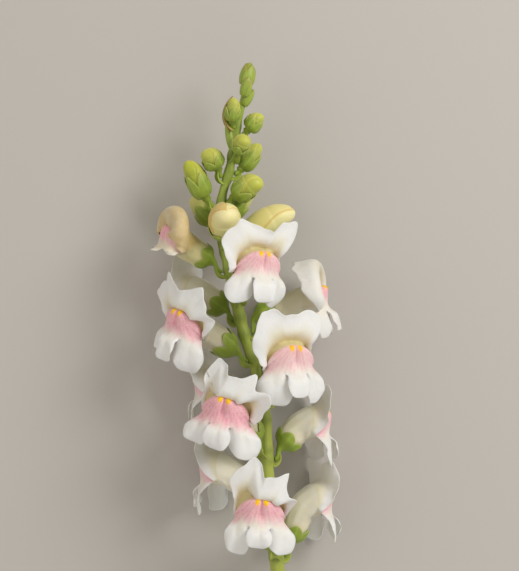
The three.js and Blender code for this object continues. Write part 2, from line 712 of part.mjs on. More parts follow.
// Turn and place of a bloom: facing is [round the stem, nodding down, rolled], in degrees.
function placement({ crest, face, size }) {
  const [round, nod, roll] = face.map(radians);
  const facing = point(Math.sin(round) * Math.cos(nod), -Math.sin(nod), Math.cos(round) * Math.cos(nod));
  const side = unit(point(0, 1, 0).cross(facing));
  const up = facing.clone().cross(side);
  const rolledSide = side.clone().multiplyScalar(Math.cos(roll)).addScaledVector(up, Math.sin(roll));
  const rolledUp = up.multiplyScalar(Math.cos(roll)).addScaledVector(side, -Math.sin(roll));
  const matrix = new THREE.Matrix4().makeBasis(facing, rolledSide, rolledUp);
  return matrix.scale(point(size, size, size)).setPosition(point(...crest));
}

// Foot of a flower: off the stem's skin at its node, on the flower's side, and lifted.
function footOf(node, towards, reach, rise) {
  const { place, out, frame } = stemSkin(node, towards, GAP);
  const foot = along(along(place, out, reach), frame.ahead, rise);
  return { place, out, foot, lifted: unit(along(out, frame.ahead, 0.9)) };
}

function lipsOf(flower) {
  const merged = Object.entries(LIPS).map(([key, plain]) => {
    const own = flower.lips?.[key];
    return [key, Array.isArray(plain) ? (own ?? plain) : { ...plain, ...own }];
  });
  return Object.fromEntries(merged);
}

function bloomGroup(flower) {
  const matrix = placement(flower);
  const inverse = matrix.clone().invert();
  const { place, out, foot, lifted } = footOf(flower.node, point(...flower.crest), ...BLOOM_FOOT);
  const tube = corollaTube(foot.applyMatrix4(inverse), lifted.transformDirection(inverse));
  const green = calyx(tube, place.applyMatrix4(inverse), out.transformDirection(inverse), SEPAL_COVER);
  const group = new THREE.Group();
  group.applyMatrix4(matrix);
  group.add(part(`${flower.name}_calyx`, pressFlat(green, matrix), SEPAL_GREEN));
  group.add(part(`${flower.name}_corolla`, pressFlat(corolla(tube, lipsOf(flower)), matrix), WHITE));
  return group;
}

function budGroup({ name, node, tip, width, cover, stalk }) {
  const end = point(...tip);
  const [reach, rise] = stalk ?? [2 + width * 0.18, 2 + width * 0.12];
  const { place, out, foot, lifted } = footOf(node, end, reach, rise);
  const way = unit(lifted.add(unit(end.clone().sub(foot))));
  const tube = budTube(foot, end, width, way, out);
  const group = new THREE.Group();
  group.add(part(`${name}_calyx`, calyx(tube, place, out, cover), SEPAL_GREEN));
  group.add(part(`${name}_corolla`, bud(tube, width, BUD_SIDES), node < GREEN_FROM ? CREAM : YOUNG));
  return group;
}

function stem() {
  const flowers = [...BLOOMS, ...BUDS];
  const nodes = flowers.map((flower) => flower.node).concat(LEAF_SCARS).sort((a, b) => a - b);
  const rings = stemRings(nodes);
  let solid = toSolid(skin(rings, stemAt(STEM_LINE[0].y).middle, stemAt(STEM_LINE.at(-1).y).middle));
  for (const { node, crest, tip, leaf = BRACT_SIZE } of flowers) {
    const { place, out, frame } = stemSkin(node - 2.6, point(...(crest ?? tip)), -1.2);
    solid = solid.add(toSolid(bract(place, out, frame.ahead, ...leaf, 100)));
  }
  for (const { foot, tip, width } of BUDLETS) {
    const [from, to] = [point(...foot), point(...tip)];
    const way = unit(to.clone().sub(from));
    solid = solid.add(toSolid(bud(budTube(from, to, width, way, point(0, 0, 1)), width, BUDLET_SIDES)));
  }
  return pressFlat(toGeometry(solid), new THREE.Matrix4());
}

const model = new THREE.Group();
model.add(part('stem', stem(), GREEN));
model.add(...BLOOMS.map(bloomGroup), ...BUDS.map(budGroup));
model.position.set(-CENTRE[0], -CENTRE[1], 0);

export default model;
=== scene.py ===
"""A cut snapdragon stem lies on a pale surface with its best blooms facing up.

The stem, each bloom, each closed bud and each calyx is one finer piece that takes the place of the
solid of the same name. All lengths are in millimetres until a piece is made, which is in metres.
"""

from functools import partial

import bpy
import numpy as np
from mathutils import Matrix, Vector


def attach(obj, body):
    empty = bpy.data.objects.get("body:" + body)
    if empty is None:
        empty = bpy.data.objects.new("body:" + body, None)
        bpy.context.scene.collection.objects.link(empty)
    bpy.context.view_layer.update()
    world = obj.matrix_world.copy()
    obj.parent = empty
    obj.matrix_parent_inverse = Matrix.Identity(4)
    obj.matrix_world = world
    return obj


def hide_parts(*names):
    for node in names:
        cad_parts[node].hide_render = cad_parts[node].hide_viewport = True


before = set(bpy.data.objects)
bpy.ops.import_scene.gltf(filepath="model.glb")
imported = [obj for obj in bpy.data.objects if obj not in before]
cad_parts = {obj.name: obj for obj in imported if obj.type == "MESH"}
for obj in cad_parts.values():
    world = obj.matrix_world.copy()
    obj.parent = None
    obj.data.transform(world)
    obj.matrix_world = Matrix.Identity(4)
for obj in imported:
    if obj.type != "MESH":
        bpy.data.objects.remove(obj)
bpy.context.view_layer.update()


# ---- the plant's own sizes ------------------------------------------------------------------
def named_rows(kind, keys, plain, rows):
    """Each row as a dict with a name, such as bloom_03. It ends with what isn't plain about it."""
    return [
        {**plain, "name": f"{kind}_{number:02}", **dict(zip(keys, row)), **own}
        for number, (*row, own) in enumerate(rows, 1)
    ]


CENTRE = np.array([-5.9, -47.6, 0.0])  # the place that lies at the origin of the part's frame
SURFACE_SKIN = 0.12  # pressed petals stop this far above the surface
WELD = 2e-4  # points closer than this are one
PRESS_FROM, PRESSED = 0.22, 0.05  # below this height, flattened to this share of their depth

# The stem's axis from the cut end to the tip: y, x, height z, width.
STEM_LINE = np.array([
    (-190, 16, 3, 6.5), (-172, 13.2, 7, 6.4), (-148, 10.4, 13, 6.3),
    (-118, 7.4, 20.5, 6.2), (-96.5, 5.4, 24, 6), (-78.5, 3.2, 25, 5.8),
    (-60, 2.4, 25, 5.6), (-38.9, -0.6, 25, 5.2), (-20.4, -6.8, 25, 5),
    (-7.5, -9.9, 25, 5), (9.7, -14, 25, 4.3), (23, -16.5, 25, 3.9),
    (38.1, -16.1, 25.5, 3.8), (49.7, -12.9, 26, 3.7), (58.3, -11.4, 26.5, 3.6),
    (69.4, -9.5, 27, 3.4), (80.6, -6.7, 27.5, 2.8), (88.5, -5.4, 27.9, 2.2),
])
STEM_FOOT, STEM_TIP = STEM_LINE[[0, -1], 0]
LEAF_SCARS = [-168, -147, -128]
NODE_SWELL = 0.45
CUT_SLANT, CUT_SLANT_END, PITH_DEPTH = 2.4, 3.5, 0.3
GAP = 0.3  # between the stem and a flower's stalk
BLOOM_FOOT = [3.4, 5]  # from the stem's skin to the foot of a tube: out, and ahead
BRACT_SIZE, BRACT_LIFT = (7.29, 4.42), (88, 26)  # length and width; slope at foot and at tip
BRACT_BELOW, BRACT_SUNK = 2.0, 1.2  # its foot, below its node and under the stem's skin
BOAT_LIFT = (60, 14)  # of a bract that is a boat round its bud

# The mouth of a corolla in its own frame: +X out of the bloom, +Z to the stem's tip, and the
# crest of the palate at the origin. The upper lip goes round it from its right corner, at
# MOUTH_FROM degrees, over the top to the left one. The lower lip has the rest.
MOUTH = {"x": -7.0, "lean": 0.8, "across": 10.2, "z": -5.6, "up": 7.4}
MOUTH_FROM, MOUTH_SWEEP = -35, 250
PALATE = {"half": 9.8, "height": 10.0, "back": 5.0, "sunk": 0.6}
TUBE_SHARES = [0, 0.03, 0.1, 0.25, 0.55, 1]
TUBE_ACROSS = [0, 2.2, 3.9, 5.1, 6.3, 10.2]
TUBE_UP = [0, 2.3, 4.1, 5.5, 6.3, 7.4]
PETAL = 0.45  # thickness of a lip, down to EDGE_THIN of it along its hem
EDGE_THIN = 0.4
LIP_SPLIT = {True: 0.22, False: 0.3}  # share of the upper and of the lower lip that is throat
TUBE_RINGS, THROAT_RINGS, SHEET_RINGS, FRONT_RINGS = 24, 8, 24, 24
HEM_FILLET, MOUTH_FILLET = {True: (5, 34), False: (5, 24)}, (3, 8)  # reach in rings, and rounds
FIRST_SEED = 40
ARCH_FINE = 80  # columns over a lip, before those that are added at the clefts and folds
HEM_FINE = 1.4  # degrees between those at a fold

# The upper lip turns from 0 degrees, straight out of the mouth, to 90, straight away from it: a
# roof, then a bend. These are for a hood with no hem of its own, and for the sides of it.
HOOD = {"middle": 13.5, "lobe": 17.5, "lobe_at": 28, "roof": 1.5, "start": 6, "end": 84}
LOBE_WIDTH, LOBE_TURN = 15, 8  # degrees round the mouth, and how much further a lobe turns
SIDE_LENGTH, SIDE_ROOF, SIDE_START, SIDE_ANGLE, CORNER_ANGLE = 1.6, 0.5, 15, 45, 80
BEND_LENGTH, FACE_ANGLE, SWEPT_BACK = 7.5, 87, 9
HEM_CURL = -22  # degrees, at most, by which the last fifth rolls in or out
HOOD_STEPS = 56

# The lower lip: the line that it hangs from, where its lobes part, the middle of each and half
# its neck, the slope of its fall and what is added to that further down, and its crown.
LOWER_ROOT = {"x": -5.2, "lean": 8.8, "across": 10.3, "z": -10.4, "up": -1.4}
CLEFTS = [0.37, 0.63]
LOBE_MIDDLES = np.array([0.185, 0.5, 0.815])
SIDE_NECK, MIDDLE_NECK = 5.1, 4.1
LOBE_SLOPES = (50, 36, 22)
FALL_STEPS, FALL_REACH = 2.5, 16  # steps to a millimetre, and how far they go
LOBE_CROWN = 0.02

# What a corolla's finish reads: its two gold spots, half as far apart and half as wide as they
# are, and how far below the crest; how green and how tan a lip is beside its tube and hood.
SPOT = {"apart": 1.8, "wide": 1.15, "below": 4.0, "long": 2.1}
YOUNG_LIP, LOWER_TAN = 0.2, 0.3
FAR_AWAY = 99.0  # what a point off the palate counts as, in millimetres and degrees

# Open blooms: the node they grow from, the crest of the palate, how far they are turned, nod and
# roll, in degrees, and their size. Then what sets some apart from a plain bloom: how strongly the
# palate is flushed and how far down, how tan the hood is and how green the tube, and the lobes of
# the lower lip, right, middle and left, with half width, length and how far they splay.
PLAIN_BLOOM = {
    "pink": 1.1, "flush": 12.5, "tan": 0, "young": 0,
    "lobes": [(6.3, 14, 0.08), (5, 11, 0), (6.3, 14, 0.08)],
}
BLOOMS = named_rows("bloom", ("node", "towards", "face", "size"), PLAIN_BLOOM, [
    (-114.6, (1, -88.6, 52), (2, 8, -5), 1,
     {"pink": 1, "flush": 14.6, "lobes": [(6.4, 13, 0.12), (5.4, 8.8, 0), (5.8, 13.8, -0.08)]}),
    (-117.2, (27.3, -88.3, 12.1), (116, 2, 0), 0.96, {}),
    (-94.4, (-21.6, -74.3, 13), (-112, 2, 0), 1, {}),
    (-70.7, (-13.6, -46.1, 52), (-14, 8, -12), 1,
     {"pink": 1.08, "flush": 17.5, "lobes": [(7.2, 14.5, 0.28), (6, 10.5, 0), (6.5, 12, 0.12)]}),
    (-75.0, (26.7, -54.1, 16), (106, 0, 4), 0.96, {}),
    (-57.8, (-23.8, -37.7, 12.4), (-116, 2, 0), 0.98, {}),
    (-44.9, (14, -24.8, 51), (22, 3, 2), 1,
     {"pink": 0.7, "flush": 15.6, "lobes": [(4.6, 14.5, -0.05), (5, 10.2, 0), (8.2, 14.4, -0.04)]}),
    (-50.1, (16.8, -24.2, 11.1), (120, 2, 0), 0.92, {}),
    (-31.2, (-32.6, -10.1, 40), (-42, 2, -18), 0.96,
     {"pink": 1.12, "flush": 15.5, "lobes": [(7, 15.5, 0.1), (4.6, 12, 0.1), (4, 10, -0.1)]}),
    (-20.9, (25.2, -0.2, 23), (80, -8, 4), 0.9, {"tan": 0.12, "young": 0.1}),
    (-6.2, (1.3, 14.4, 50), (22, 3, -5), 0.94,
     {"pink": 0.86, "flush": 14.4,
      "lobes": [(5.2, 15, -0.22), (5.7, 11.8, 0.02), (6.4, 13.5, 0.1)]}),
    (-14.0, (-32.1, 2.4, 10.7), (-122, 0, 0), 0.9, {}),
    (6.7, (-37.0, 25.0, 31), (-62, -17, -10), 0.86,
     {"pink": 1.5, "tan": 0.85, "young": 0.8, "lobes": [(4.4, 3, 0), (3.8, 3.2, 0), (4.4, 3, 0)]}),
])

# Hems of the hoods that are seen best: the length from the mouth at turns round it, from the
# right corner (-125) over the top (0) to the left corner (125). A flap has a hem of its own: its
# fold is its roof, first and last slope, its edge is where its left side lies at its foot and at
# its hem, soft is half the width of that step, and it ends at a stop on the right. A closed hood
# has a roof, first and last slope over the top and beside it, and bends over a share of its
# length.
HEMS = {
    "bloom_01": {
        "back": [(-125, 2), (-114, 3), (-79, 6.4), (-68, 9), (-45, 13), (-20, 13), (-0.5, 13.6),
                 (7.5, 16.6), (10, 17.2), (13.5, 16.4), (20, 14.6), (30.5, 13), (41, 11.6),
                 (46, 10.5), (53, 6.8), (66, 3.5), (125, 2)],
        "flap": [(-125, 3), (-70, 11), (-53.5, 15), (-41, 17.3), (-31.5, 20.5), (-27.5, 23.5),
                 (-22.5, 22), (-18, 20.5), (-13, 19.5), (-4.5, 19), (10, 18), (40, 14), (125, 3)],
        "fold": (6, -17, 106), "edge": (28, 1), "soft": 2.2, "stop": -52, "roof": 0, "side": 60,
        "swept": 38,
    },
    "bloom_04": {
        "back": [(-125, 4), (-102, 8.8), (-82, 11), (-66, 16), (-55, 16), (-40, 14), (-20, 12.5),
                 (4, 13.3), (8, 14), (15.5, 15.8), (22, 13.5), (33.5, 10.8), (42.5, 8), (50, 4.5),
                 (66, 3), (125, 2)],
        "flap": [(-125, 3), (-70, 15), (-55, 18), (-40, 20.2), (-26, 23.5), (-22.5, 21.2),
                 (-17, 19), (-7.5, 19), (2, 19), (20, 17), (45, 13), (125, 3)],
        "fold": (6, -17, 106), "edge": (46, 4), "soft": 2.2, "stop": -46, "roof": 0, "side": 60,
        "swept": 38,
    },
    "bloom_07": {
        "back": [(-125, 2), (-90, 2), (-65, 3), (-51.5, 6.3), (-45, 11.8), (-38.5, 15.2),
                 (-30.5, 16.5), (-23.5, 17.3), (-13.5, 16.3), (-7.5, 15.5), (2, 15), (10.5, 15),
                 (14.5, 16.3), (18.5, 18.5), (26.5, 19.5), (32.5, 20.5), (38.5, 18.8),
                 (51.5, 15.3), (61.5, 14), (73, 12), (86.5, 9), (107, 7.3), (125, 3)],
        "roof": 1.5, "side": 87, "swept": 0,
    },
    "bloom_09": {
        "back": [(-125, 3), (-90, 8), (-60, 12), (-20, 13), (20, 15), (31, 18.5), (36, 16.5),
                 (44, 14.8), (57, 14), (67, 13), (73, 10), (90, 6), (125, 3)],
        "flap": [(-125, 5), (-90, 6), (-67.5, 13), (-57, 17), (-40, 20), (-29, 22), (-23, 23.8),
                 (-19, 22.5), (-9.5, 18.8), (-2, 17.8), (6.5, 18), (17.5, 20), (25, 22.8),
                 (31, 24.5), (38, 19), (60, 15), (125, 4)],
        "fold": (5, -18, 102), "edge": (38, 38), "soft": 7, "stop": -56, "roof": 0, "side": 87,
        "swept": 0,
    },
    "bloom_11": {
        "back": [(-125, 2), (-90, 3), (-62, 5), (-52, 10.5), (-46, 15), (-34.5, 20.7),
                 (-26, 17.5), (-19.5, 16.5), (-16, 12.8), (-5.5, 12.3), (13, 13.8), (22.5, 15.8),
                 (29, 18), (40, 16.5), (51.5, 16.2), (64, 14.5), (77, 12), (93.5, 9), (116, 7),
                 (125, 3)],
        "roof": 1.5, "side": 94, "swept": 0,
    },
    "bloom_10": {
        "back": [(-125, 2), (-100, 5), (-70, 12), (-45, 20), (-25, 26), (-8, 27), (12, 27),
                 (30, 26), (48, 24), (62, 23), (78, 22), (92, 20.5), (108, 15), (118, 8),
                 (125, 4)],
        "closed": ((6, 30, 182), (8, 16, 160)), "bend": 0.5,
    },
    "bloom_13": {
        "back": [(-125, 4), (-90, 15), (-45, 23), (0, 26), (45, 23), (90, 15), (125, 4)],
        "closed": ((4, 68, -118), (2, 34, -82)), "bend": 0.75,
    },
}

# The calyx of a bloom: how much of the tube its sepals cover, where its cup starts and is whole,
# and how far out they stand at their edge. Valleys reach a share of the way that the tips do.
SEPAL, SEPAL_EDGE, KEEL = 0.6, 0.25, 0.16
SEPAL_COVER, SEPAL_VALLEY, CUP_FLARE = 0.37, 0.56, 0.2
CUP_START, CUP_FLOOR, CUP_WHOLE = 0.03, 0.06, 0.1
FINE_GAP = 0.2  # from a calyx to the tube that stands in it
PEDICEL_SHARES, PEDICEL_WIDTHS = [0, 0.35, 0.75, 1], [2, 2.2, 2.4, 4]
CALYX_COLUMNS, STALK_RINGS, CUP_RINGS = 80, 10, 13

# Closed buds: the node they grow from, the tip, the width, and the share that sepals cover. Then
# what sets some apart from a green one: how far the petals have turned to cream, and how far the
# folded hood has turned tan apart from that.
PLAIN_BUD = {"ripe": 0.12, "worn": 0.3}
BUDS = named_rows("bud", ("node", "towards", "width", "cover"), PLAIN_BUD, [
    (18.3, (-14.1, 32.5, 47), 13.2, 0.4, {"ripe": 1, "worn": 1}),
    (14.4, (14.9, 33, 22), 11.2, 0.34, {"ripe": 0.95}),
    (24.7, (-28.6, 39.1, 11), 9.5, 0.56, {"ripe": 0.5}),
    (27.3, (-4.1, 41.7, 11), 9, 0.6, {"ripe": 0.5}),
    (33.8, (-30.1, 53.7, 30), 8.8, 0.7, {"ripe": 0, "stalk": (4, 3.2)}),
    (35.9, (0.6, 45.9, 32), 9.6, 0.62, {}),
    (46.2, (-22.9, 58.3, 31), 8.6, 0.64, {}),
    (48.8, (-0.6, 61.4, 23), 7.2, 0.74, {}),
    (55.7, (-5.7, 63.4, 37), 7.6, 0.62, {}),
    (65.1, (0.2, 73.9, 28), 6.8, 0.74, {}),
    (67.7, (-10.4, 79.9, 33), 5.8, 0.64, {"leaf": (13.5, 9)}),
])
BUD_SHARES = [0, 0.05, 0.18, 0.45, 0.75, 0.93, 1]
BUD_WIDTHS = [0, 0.42, 0.8, 1, 0.94, 0.58, 0]
BUD_COLUMNS, BUD_RINGS = 96, 50
DOME_FROM = 0.68  # the share of a bud's length from which it is a dome
HOOD_HALF = 118, 52  # degrees from its top to the margin of the hood, near its foot and its tip

# Green buds at the tip that are one body with the stem: the foot, the tip and the width.
BUDLETS = [
    ((-6.1, 85.5, 28.2), (-3.9, 95.5, 28.5), 6.3), ((-6.4, 81.1, 28.8), (-4.6, 89, 31.8), 4.8),
    ((-6.9, 77, 27.6), (-2.4, 84, 28.5), 3.8), ((-11.6, 59, 26.4), (-13.7, 70.3, 27.6), 3.8),
]
BUDLET_COLUMNS, BUDLET_RINGS = 60, 34
SCALE_TURN, SCALE_HALF = 128, 84  # degrees from one scale to the next, and over half of one
FIRST_SCALE, NEXT_FIRST = 60, 50  # where the first scale of a bud stands, and of each after it


# ---- small maths ----------------------------------------------------------------------------
def lerp(a, b, t):
    return a + (b - a) * t


def ease(x, low, high):
    t = np.clip((np.asarray(x, float) - low) / (high - low), 0, 1)
    return t * t * (3 - 2 * t)


def hump(x, width):
    return np.exp(-((x / width) ** 2))


def unit(v):
    v = np.asarray(v, float)
    return v / np.maximum(np.linalg.norm(v, axis=-1, keepdims=True), 1e-9)


def xyz(x, y, z):
    return np.stack(np.broadcast_arrays(x, y, z), axis=-1).astype(float)


def once_round(count):
    return np.linspace(0, 2 * np.pi, count, endpoint=False)


def curve_through(x, places, values):
    """Smooth value at x of a table, through each of its entries."""
    places, values = np.asarray(places, float), np.asarray(values, float)
    x = np.asarray(x, float)
    slopes = np.gradient(values, places)
    i = np.clip(np.searchsorted(places, x) - 1, 0, len(places) - 2)
    span = places[i + 1] - places[i]
    t = np.clip((x - places[i]) / span, 0, 1)
    return (
        (2 * t**3 - 3 * t**2 + 1) * values[i]
        + (t**3 - 2 * t**2 + t) * span * slopes[i]
        + (3 * t**2 - 2 * t**3) * values[i + 1]
        + (t**3 - t**2) * span * slopes[i + 1]
    )


def bezier(points, t):
    """Place and way along a curve with any number of control points, for an array of shares."""
    rows = [np.asarray(p, float) for p in points]
    t = np.asarray(t, float)[..., None]
    while len(rows) > 2:
        rows = [lerp(a, b, t) for a, b in zip(rows, rows[1:])]
    return lerp(rows[0], rows[1], t), unit(rows[1] - rows[0] + 0 * t)


# ---- skins and pieces -----------------------------------------------------------------------
def ways_across(ahead, side):
    """Two ways across each of many ways ahead, the first as near to a given one as it can be."""
    side = unit(side - ahead * (ahead @ side)[:, None])
    return side, np.cross(ahead, side)


def rings_round(middle, side, up, across, high, angles):
    """Rings of points round middles (R), for angles (N): points (R, N, 3)."""
    return (
        middle[:, None]
        + side[:, None] * (across * np.cos(angles))[..., None]
        + up[:, None] * (high * np.sin(angles))[..., None]
    )


def capped(rings, *ends):
    """Points and faces of rings that a fan closes at a point before the first ring and, where
    there are two points, at one after the last ring."""
    count, columns = rings.shape[:2]
    here = np.arange(columns)
    beside = (here + 1) % columns
    a, b = (i + columns * np.arange(count - 1)[:, None] for i in (here, beside))
    faces = [*np.stack([a, b, b + columns, a + columns], axis=-1).reshape(-1, 4)]
    end, last = count * columns, (count - 1) * columns
    faces += [*np.stack([beside, here, 0 * here + end], axis=-1)]
    if len(ends) == 2:
        faces += [*np.stack([0 * here + end + 1, last + here, last + beside], axis=-1)]
    return np.concatenate([rings.reshape(-1, 3), ends]), faces


def marks_on(rings, **marks):
    """What a finish reads at each point: values over the rings, then one for each end point."""
    return {
        name: np.append(np.broadcast_to(values, rings.shape[:2]), ends)
        for name, (values, *ends) in marks.items()
    }


def welded(points, faces, marks):
    """The same skin with points in one place made one, and faces with no area dropped."""
    keys = np.round(points / WELD).astype(np.int64)
    _, first, number = np.unique(keys, axis=0, return_index=True, return_inverse=True)
    number = number.reshape(-1)
    kept = []
    for face in faces:
        corners = list(dict.fromkeys(int(number[i]) for i in face))
        if len(corners) > 2:
            kept.append(corners)
    return points[first], kept, {name: values[first] for name, values in marks.items()}


def placed(points):
    """From millimetres to metres in the part's frame. Petals that would lie lower than the
    surface are pressed on it."""
    moved = points - CENTRE
    height = moved[:, 2]
    pressed = np.maximum(lerp(PRESS_FROM, height, PRESSED), SURFACE_SKIN)
    moved[:, 2] = np.where(height < PRESS_FROM, pressed, height)
    return moved / 1000


def make_piece(name, node, finish, shells):
    """One shown piece of one or more closed skins, each (points, faces, marks), in mm."""
    all_points, all_faces, all_marks, start = [], [], {}, 0
    for points, faces, marks in shells:
        points, faces, marks = welded(points, faces, marks)
        all_points.append(points)
        all_faces += [[start + i for i in face] for face in faces]
        for key, values in marks.items():
            all_marks.setdefault(key, []).append(values)
        start += len(points)
    mesh = bpy.data.meshes.new(name)
    mesh.from_pydata(placed(np.concatenate(all_points)).tolist(), [], all_faces)
    for key, values in all_marks.items():
        layer = mesh.attributes.new(key, "FLOAT", "POINT")
        layer.data.foreach_set("value", np.concatenate(values).astype(np.float32))
    mesh.update()
    mesh.shade_smooth()
    mesh.materials.append(finish)
    piece = bpy.data.objects.new(name, mesh)
    bpy.context.collection.objects.link(piece)
    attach(piece, "root")
    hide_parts(node)


# ---- tubes ----------------------------------------------------------------------------------
def section(tube, shares, angles, off=0.0):
    """Rings of a flower's tube: for shares (R) and angles (N), points (R, N, 3)."""
    shares = np.asarray(shares, float)
    middle, ahead = bezier(tube["line"], shares)
    facing = ease(shares, 0.5, 1)[:, None] if "face" in tube else 0 * shares[:, None]
    ahead = unit(lerp(ahead, np.asarray(tube.get("face", [0, 0, 0]), float), facing))
    across, high = (
        curve_through(shares, tube["shares"], tube[way])[:, None] + off for way in ("across", "up")
    )
    points = rings_round(middle, *ways_across(ahead, tube["side"]), across, high, angles)
    points[..., 0] += facing**3 * tube.get("lean", 0) * np.sin(angles)
    return points


def bow(sizes, angle):
    """Points of an oval in a corolla's own frame: of the mouth, or the root of the lower lip."""
    return xyz(
        sizes["x"] + sizes["lean"] * np.sin(angle),
        sizes["across"] * np.cos(angle),
        sizes["z"] + sizes["up"] * np.sin(angle),
    )


def corolla_tube(foot, lifted):
    mouth = np.array([MOUTH["x"], 0, MOUTH["z"]])
    span = mouth - foot
    handle = np.linalg.norm(span) * 0.38
    last = unit(unit([0.9, 0, 0.43]) + unit(span) * 0.6)
    first = unit(lifted + unit(span) * 2)
    return {
        "line": [foot, foot + first * handle, mouth - last * handle, mouth],
        "shares": TUBE_SHARES, "across": TUBE_ACROSS, "up": TUBE_UP, "lean": MOUTH["lean"],
        "side": np.array([0.0, 1, 0]), "face": [1, 0, 0], "start": first,
    }


# ---- the two lips ---------------------------------------------------------------------------
def hood_rise(turn, shares, length, roof, start, end, bend=BEND_LENGTH):
    """How far forward and out the hood has gone, for turns (N) and shares of its length (R)."""
    steps = HOOD_STEPS
    share = (np.arange(steps)[:, None] + 0.5) / steps
    curl = HEM_CURL * np.sin(2.3 * turn / 57 + 1) * (np.maximum(0, share - 0.8) ** 2 * 25)
    slope = np.radians(lerp(start, end, ease((share * length - roof) / bend, 0, 1)) + curl)
    low = np.clip((shares * steps).astype(int), 0, steps - 1)
    rest = (shares * steps - low)[:, None]
    gone = []
    for part in (np.cos(slope), np.sin(slope)):
        path = np.vstack([0 * length, np.cumsum(part * length / steps, axis=0)])
        gone.append(lerp(path[low], path[low + 1], rest))
    return gone


def plain_hood(turn):
    """Length, roof, first and last slope of a hood with no hem of its own, at each turn."""
    away = np.abs(turn)
    from_lobe = away - HOOD["lobe_at"]
    fall = np.radians(np.clip((away - 6) * 90 / 121, 0, 90))
    width = np.where(from_lobe < 0, LOBE_WIDTH, LOBE_WIDTH * 1.35)
    length = SIDE_LENGTH + (HOOD["middle"] - SIDE_LENGTH) * np.cos(fall) ** 1.3
    length += (HOOD["lobe"] - HOOD["middle"]) * np.exp(-((np.abs(from_lobe) / width) ** 1.5))
    aside, corner = ease(away, 42, 100), ease(away, 98, 125)
    start, end = (
        lerp(HOOD[key], lerp(side, CORNER_ANGLE, corner), aside)
        for key, side in (("start", SIDE_START), ("end", SIDE_ANGLE))
    )
    roof = lerp(HOOD["roof"], SIDE_ROOF, aside)
    return length, roof, start, end + LOBE_TURN * hump(from_lobe, 20)


def hemmed(turn, hem, roof, start, end):
    """The same for a hood whose hem is given as a table of turn and length."""
    corner = ease(np.abs(turn), 106, 125)
    length = np.maximum(1.2, curve_through(turn, *np.array(hem, float).T))
    start, end = (lerp(slope + 0 * turn, CORNER_ANGLE, corner) for slope in (start, end))
    return length, roof + 0 * turn, start, end


def hood(arch, shares, lips, waves):
    """Outer face of the upper lip, for arch (N) and shares of its length (R)."""
    turn = MOUTH_FROM + MOUTH_SWEEP * arch - 90
    rim = np.radians(turn)
    uneven = 1 + 0.016 * np.sin(9 * rim + waves[0]) + 0.012 * np.sin(19 * rim + waves[1])
    hem, bend = HEMS.get(lips["name"], {}), BEND_LENGTH
    if not hem:
        length, *slopes = plain_hood(turn)
    elif "closed" in hem:
        # This hood still bulges up, and bends over the mouth or back over its own tube.
        over, beside = np.array(hem["closed"], float)[..., None]
        top = np.cos(np.radians(np.clip(turn, -90, 90)))
        length, *slopes = hemmed(turn, hem["back"], *lerp(beside, over, top))
        bend = hem["bend"] * length
    else:
        swept = SWEPT_BACK + hem["swept"] * ease(turn, 0, 55)
        facing = lerp(hem["side"], FACE_ANGLE, ease(turn, -70, -35))
        length, *slopes = hemmed(turn, hem["back"], hem["roof"], swept, facing)
    forward, rise = hood_rise(turn, shares, length * uneven, *slopes, bend)
    if "flap" in hem:
        # One lobe of the hood is folded down over the mouth, in front of the other.
        length, *slopes = hemmed(turn, hem["flap"], *hem["fold"])
        near, up = hood_rise(turn, shares, length * uneven, *slopes)
        edge = lerp(*hem["edge"], ease(shares, 0.2, 0.95))[:, None]
        folded = ease(edge - turn, -hem["soft"], hem["soft"])
        folded = folded * ease(turn, hem["stop"] - 14, hem["stop"] + 4)
        forward, rise = lerp(forward, near, folded), lerp(rise, up, folded)
    angle = rim + np.pi / 2
    out = xyz(0 * angle, np.cos(angle), np.sin(angle))
    place = bow(MOUTH, angle) + out * rise[..., None]
    place[..., 0] += forward
    # The sheet is a little uneven, most of all along its hem.
    share = shares[:, None]
    wave = (
        0.85 * share**2 * np.sin(3.1 * rim + waves[2] + 1.5 * share)
        + 0.5 * share**3 * np.sin(7.3 * rim + waves[3])
        + 0.22 * share**7 * np.sin(17 * rim + waves[4])
    ) * (1 - ease(np.abs(turn), 55, 105))
    place[..., 0] -= wave * ease(share, 0.3, 0.7)
    return place + out * (0.2 * wave)[..., None]


def lobe_place(arch):
    """Which lobe of the lower lip, 0 to 2, and where across it, -1 to 1."""
    edges = np.array([0, *CLEFTS, 1])
    lobe = np.clip(np.searchsorted(edges, arch, side="right") - 1, 0, 2)
    return lobe, (arch - edges[lobe]) / (edges[lobe + 1] - edges[lobe]) * 2 - 1


def fall_of(ahead, down, distance):
    """Path of the lower lip from its root: forward and down, upright, then a little back."""
    at = np.arange(FALL_REACH * FALL_STEPS + 1) / FALL_STEPS
    first, by_six, by_end = LOBE_SLOPES
    slope = first + by_six * ease(at[:-1], 0, 6) + by_end * ease(at[:-1], 7, FALL_REACH)
    gone = 0
    for way, part in ((ahead, np.cos), (down, np.sin)):
        path = np.append(0, np.cumsum(part(np.radians(slope)) / FALL_STEPS))
        gone = gone + way * np.interp(distance, at, path)[..., None]
    return gone


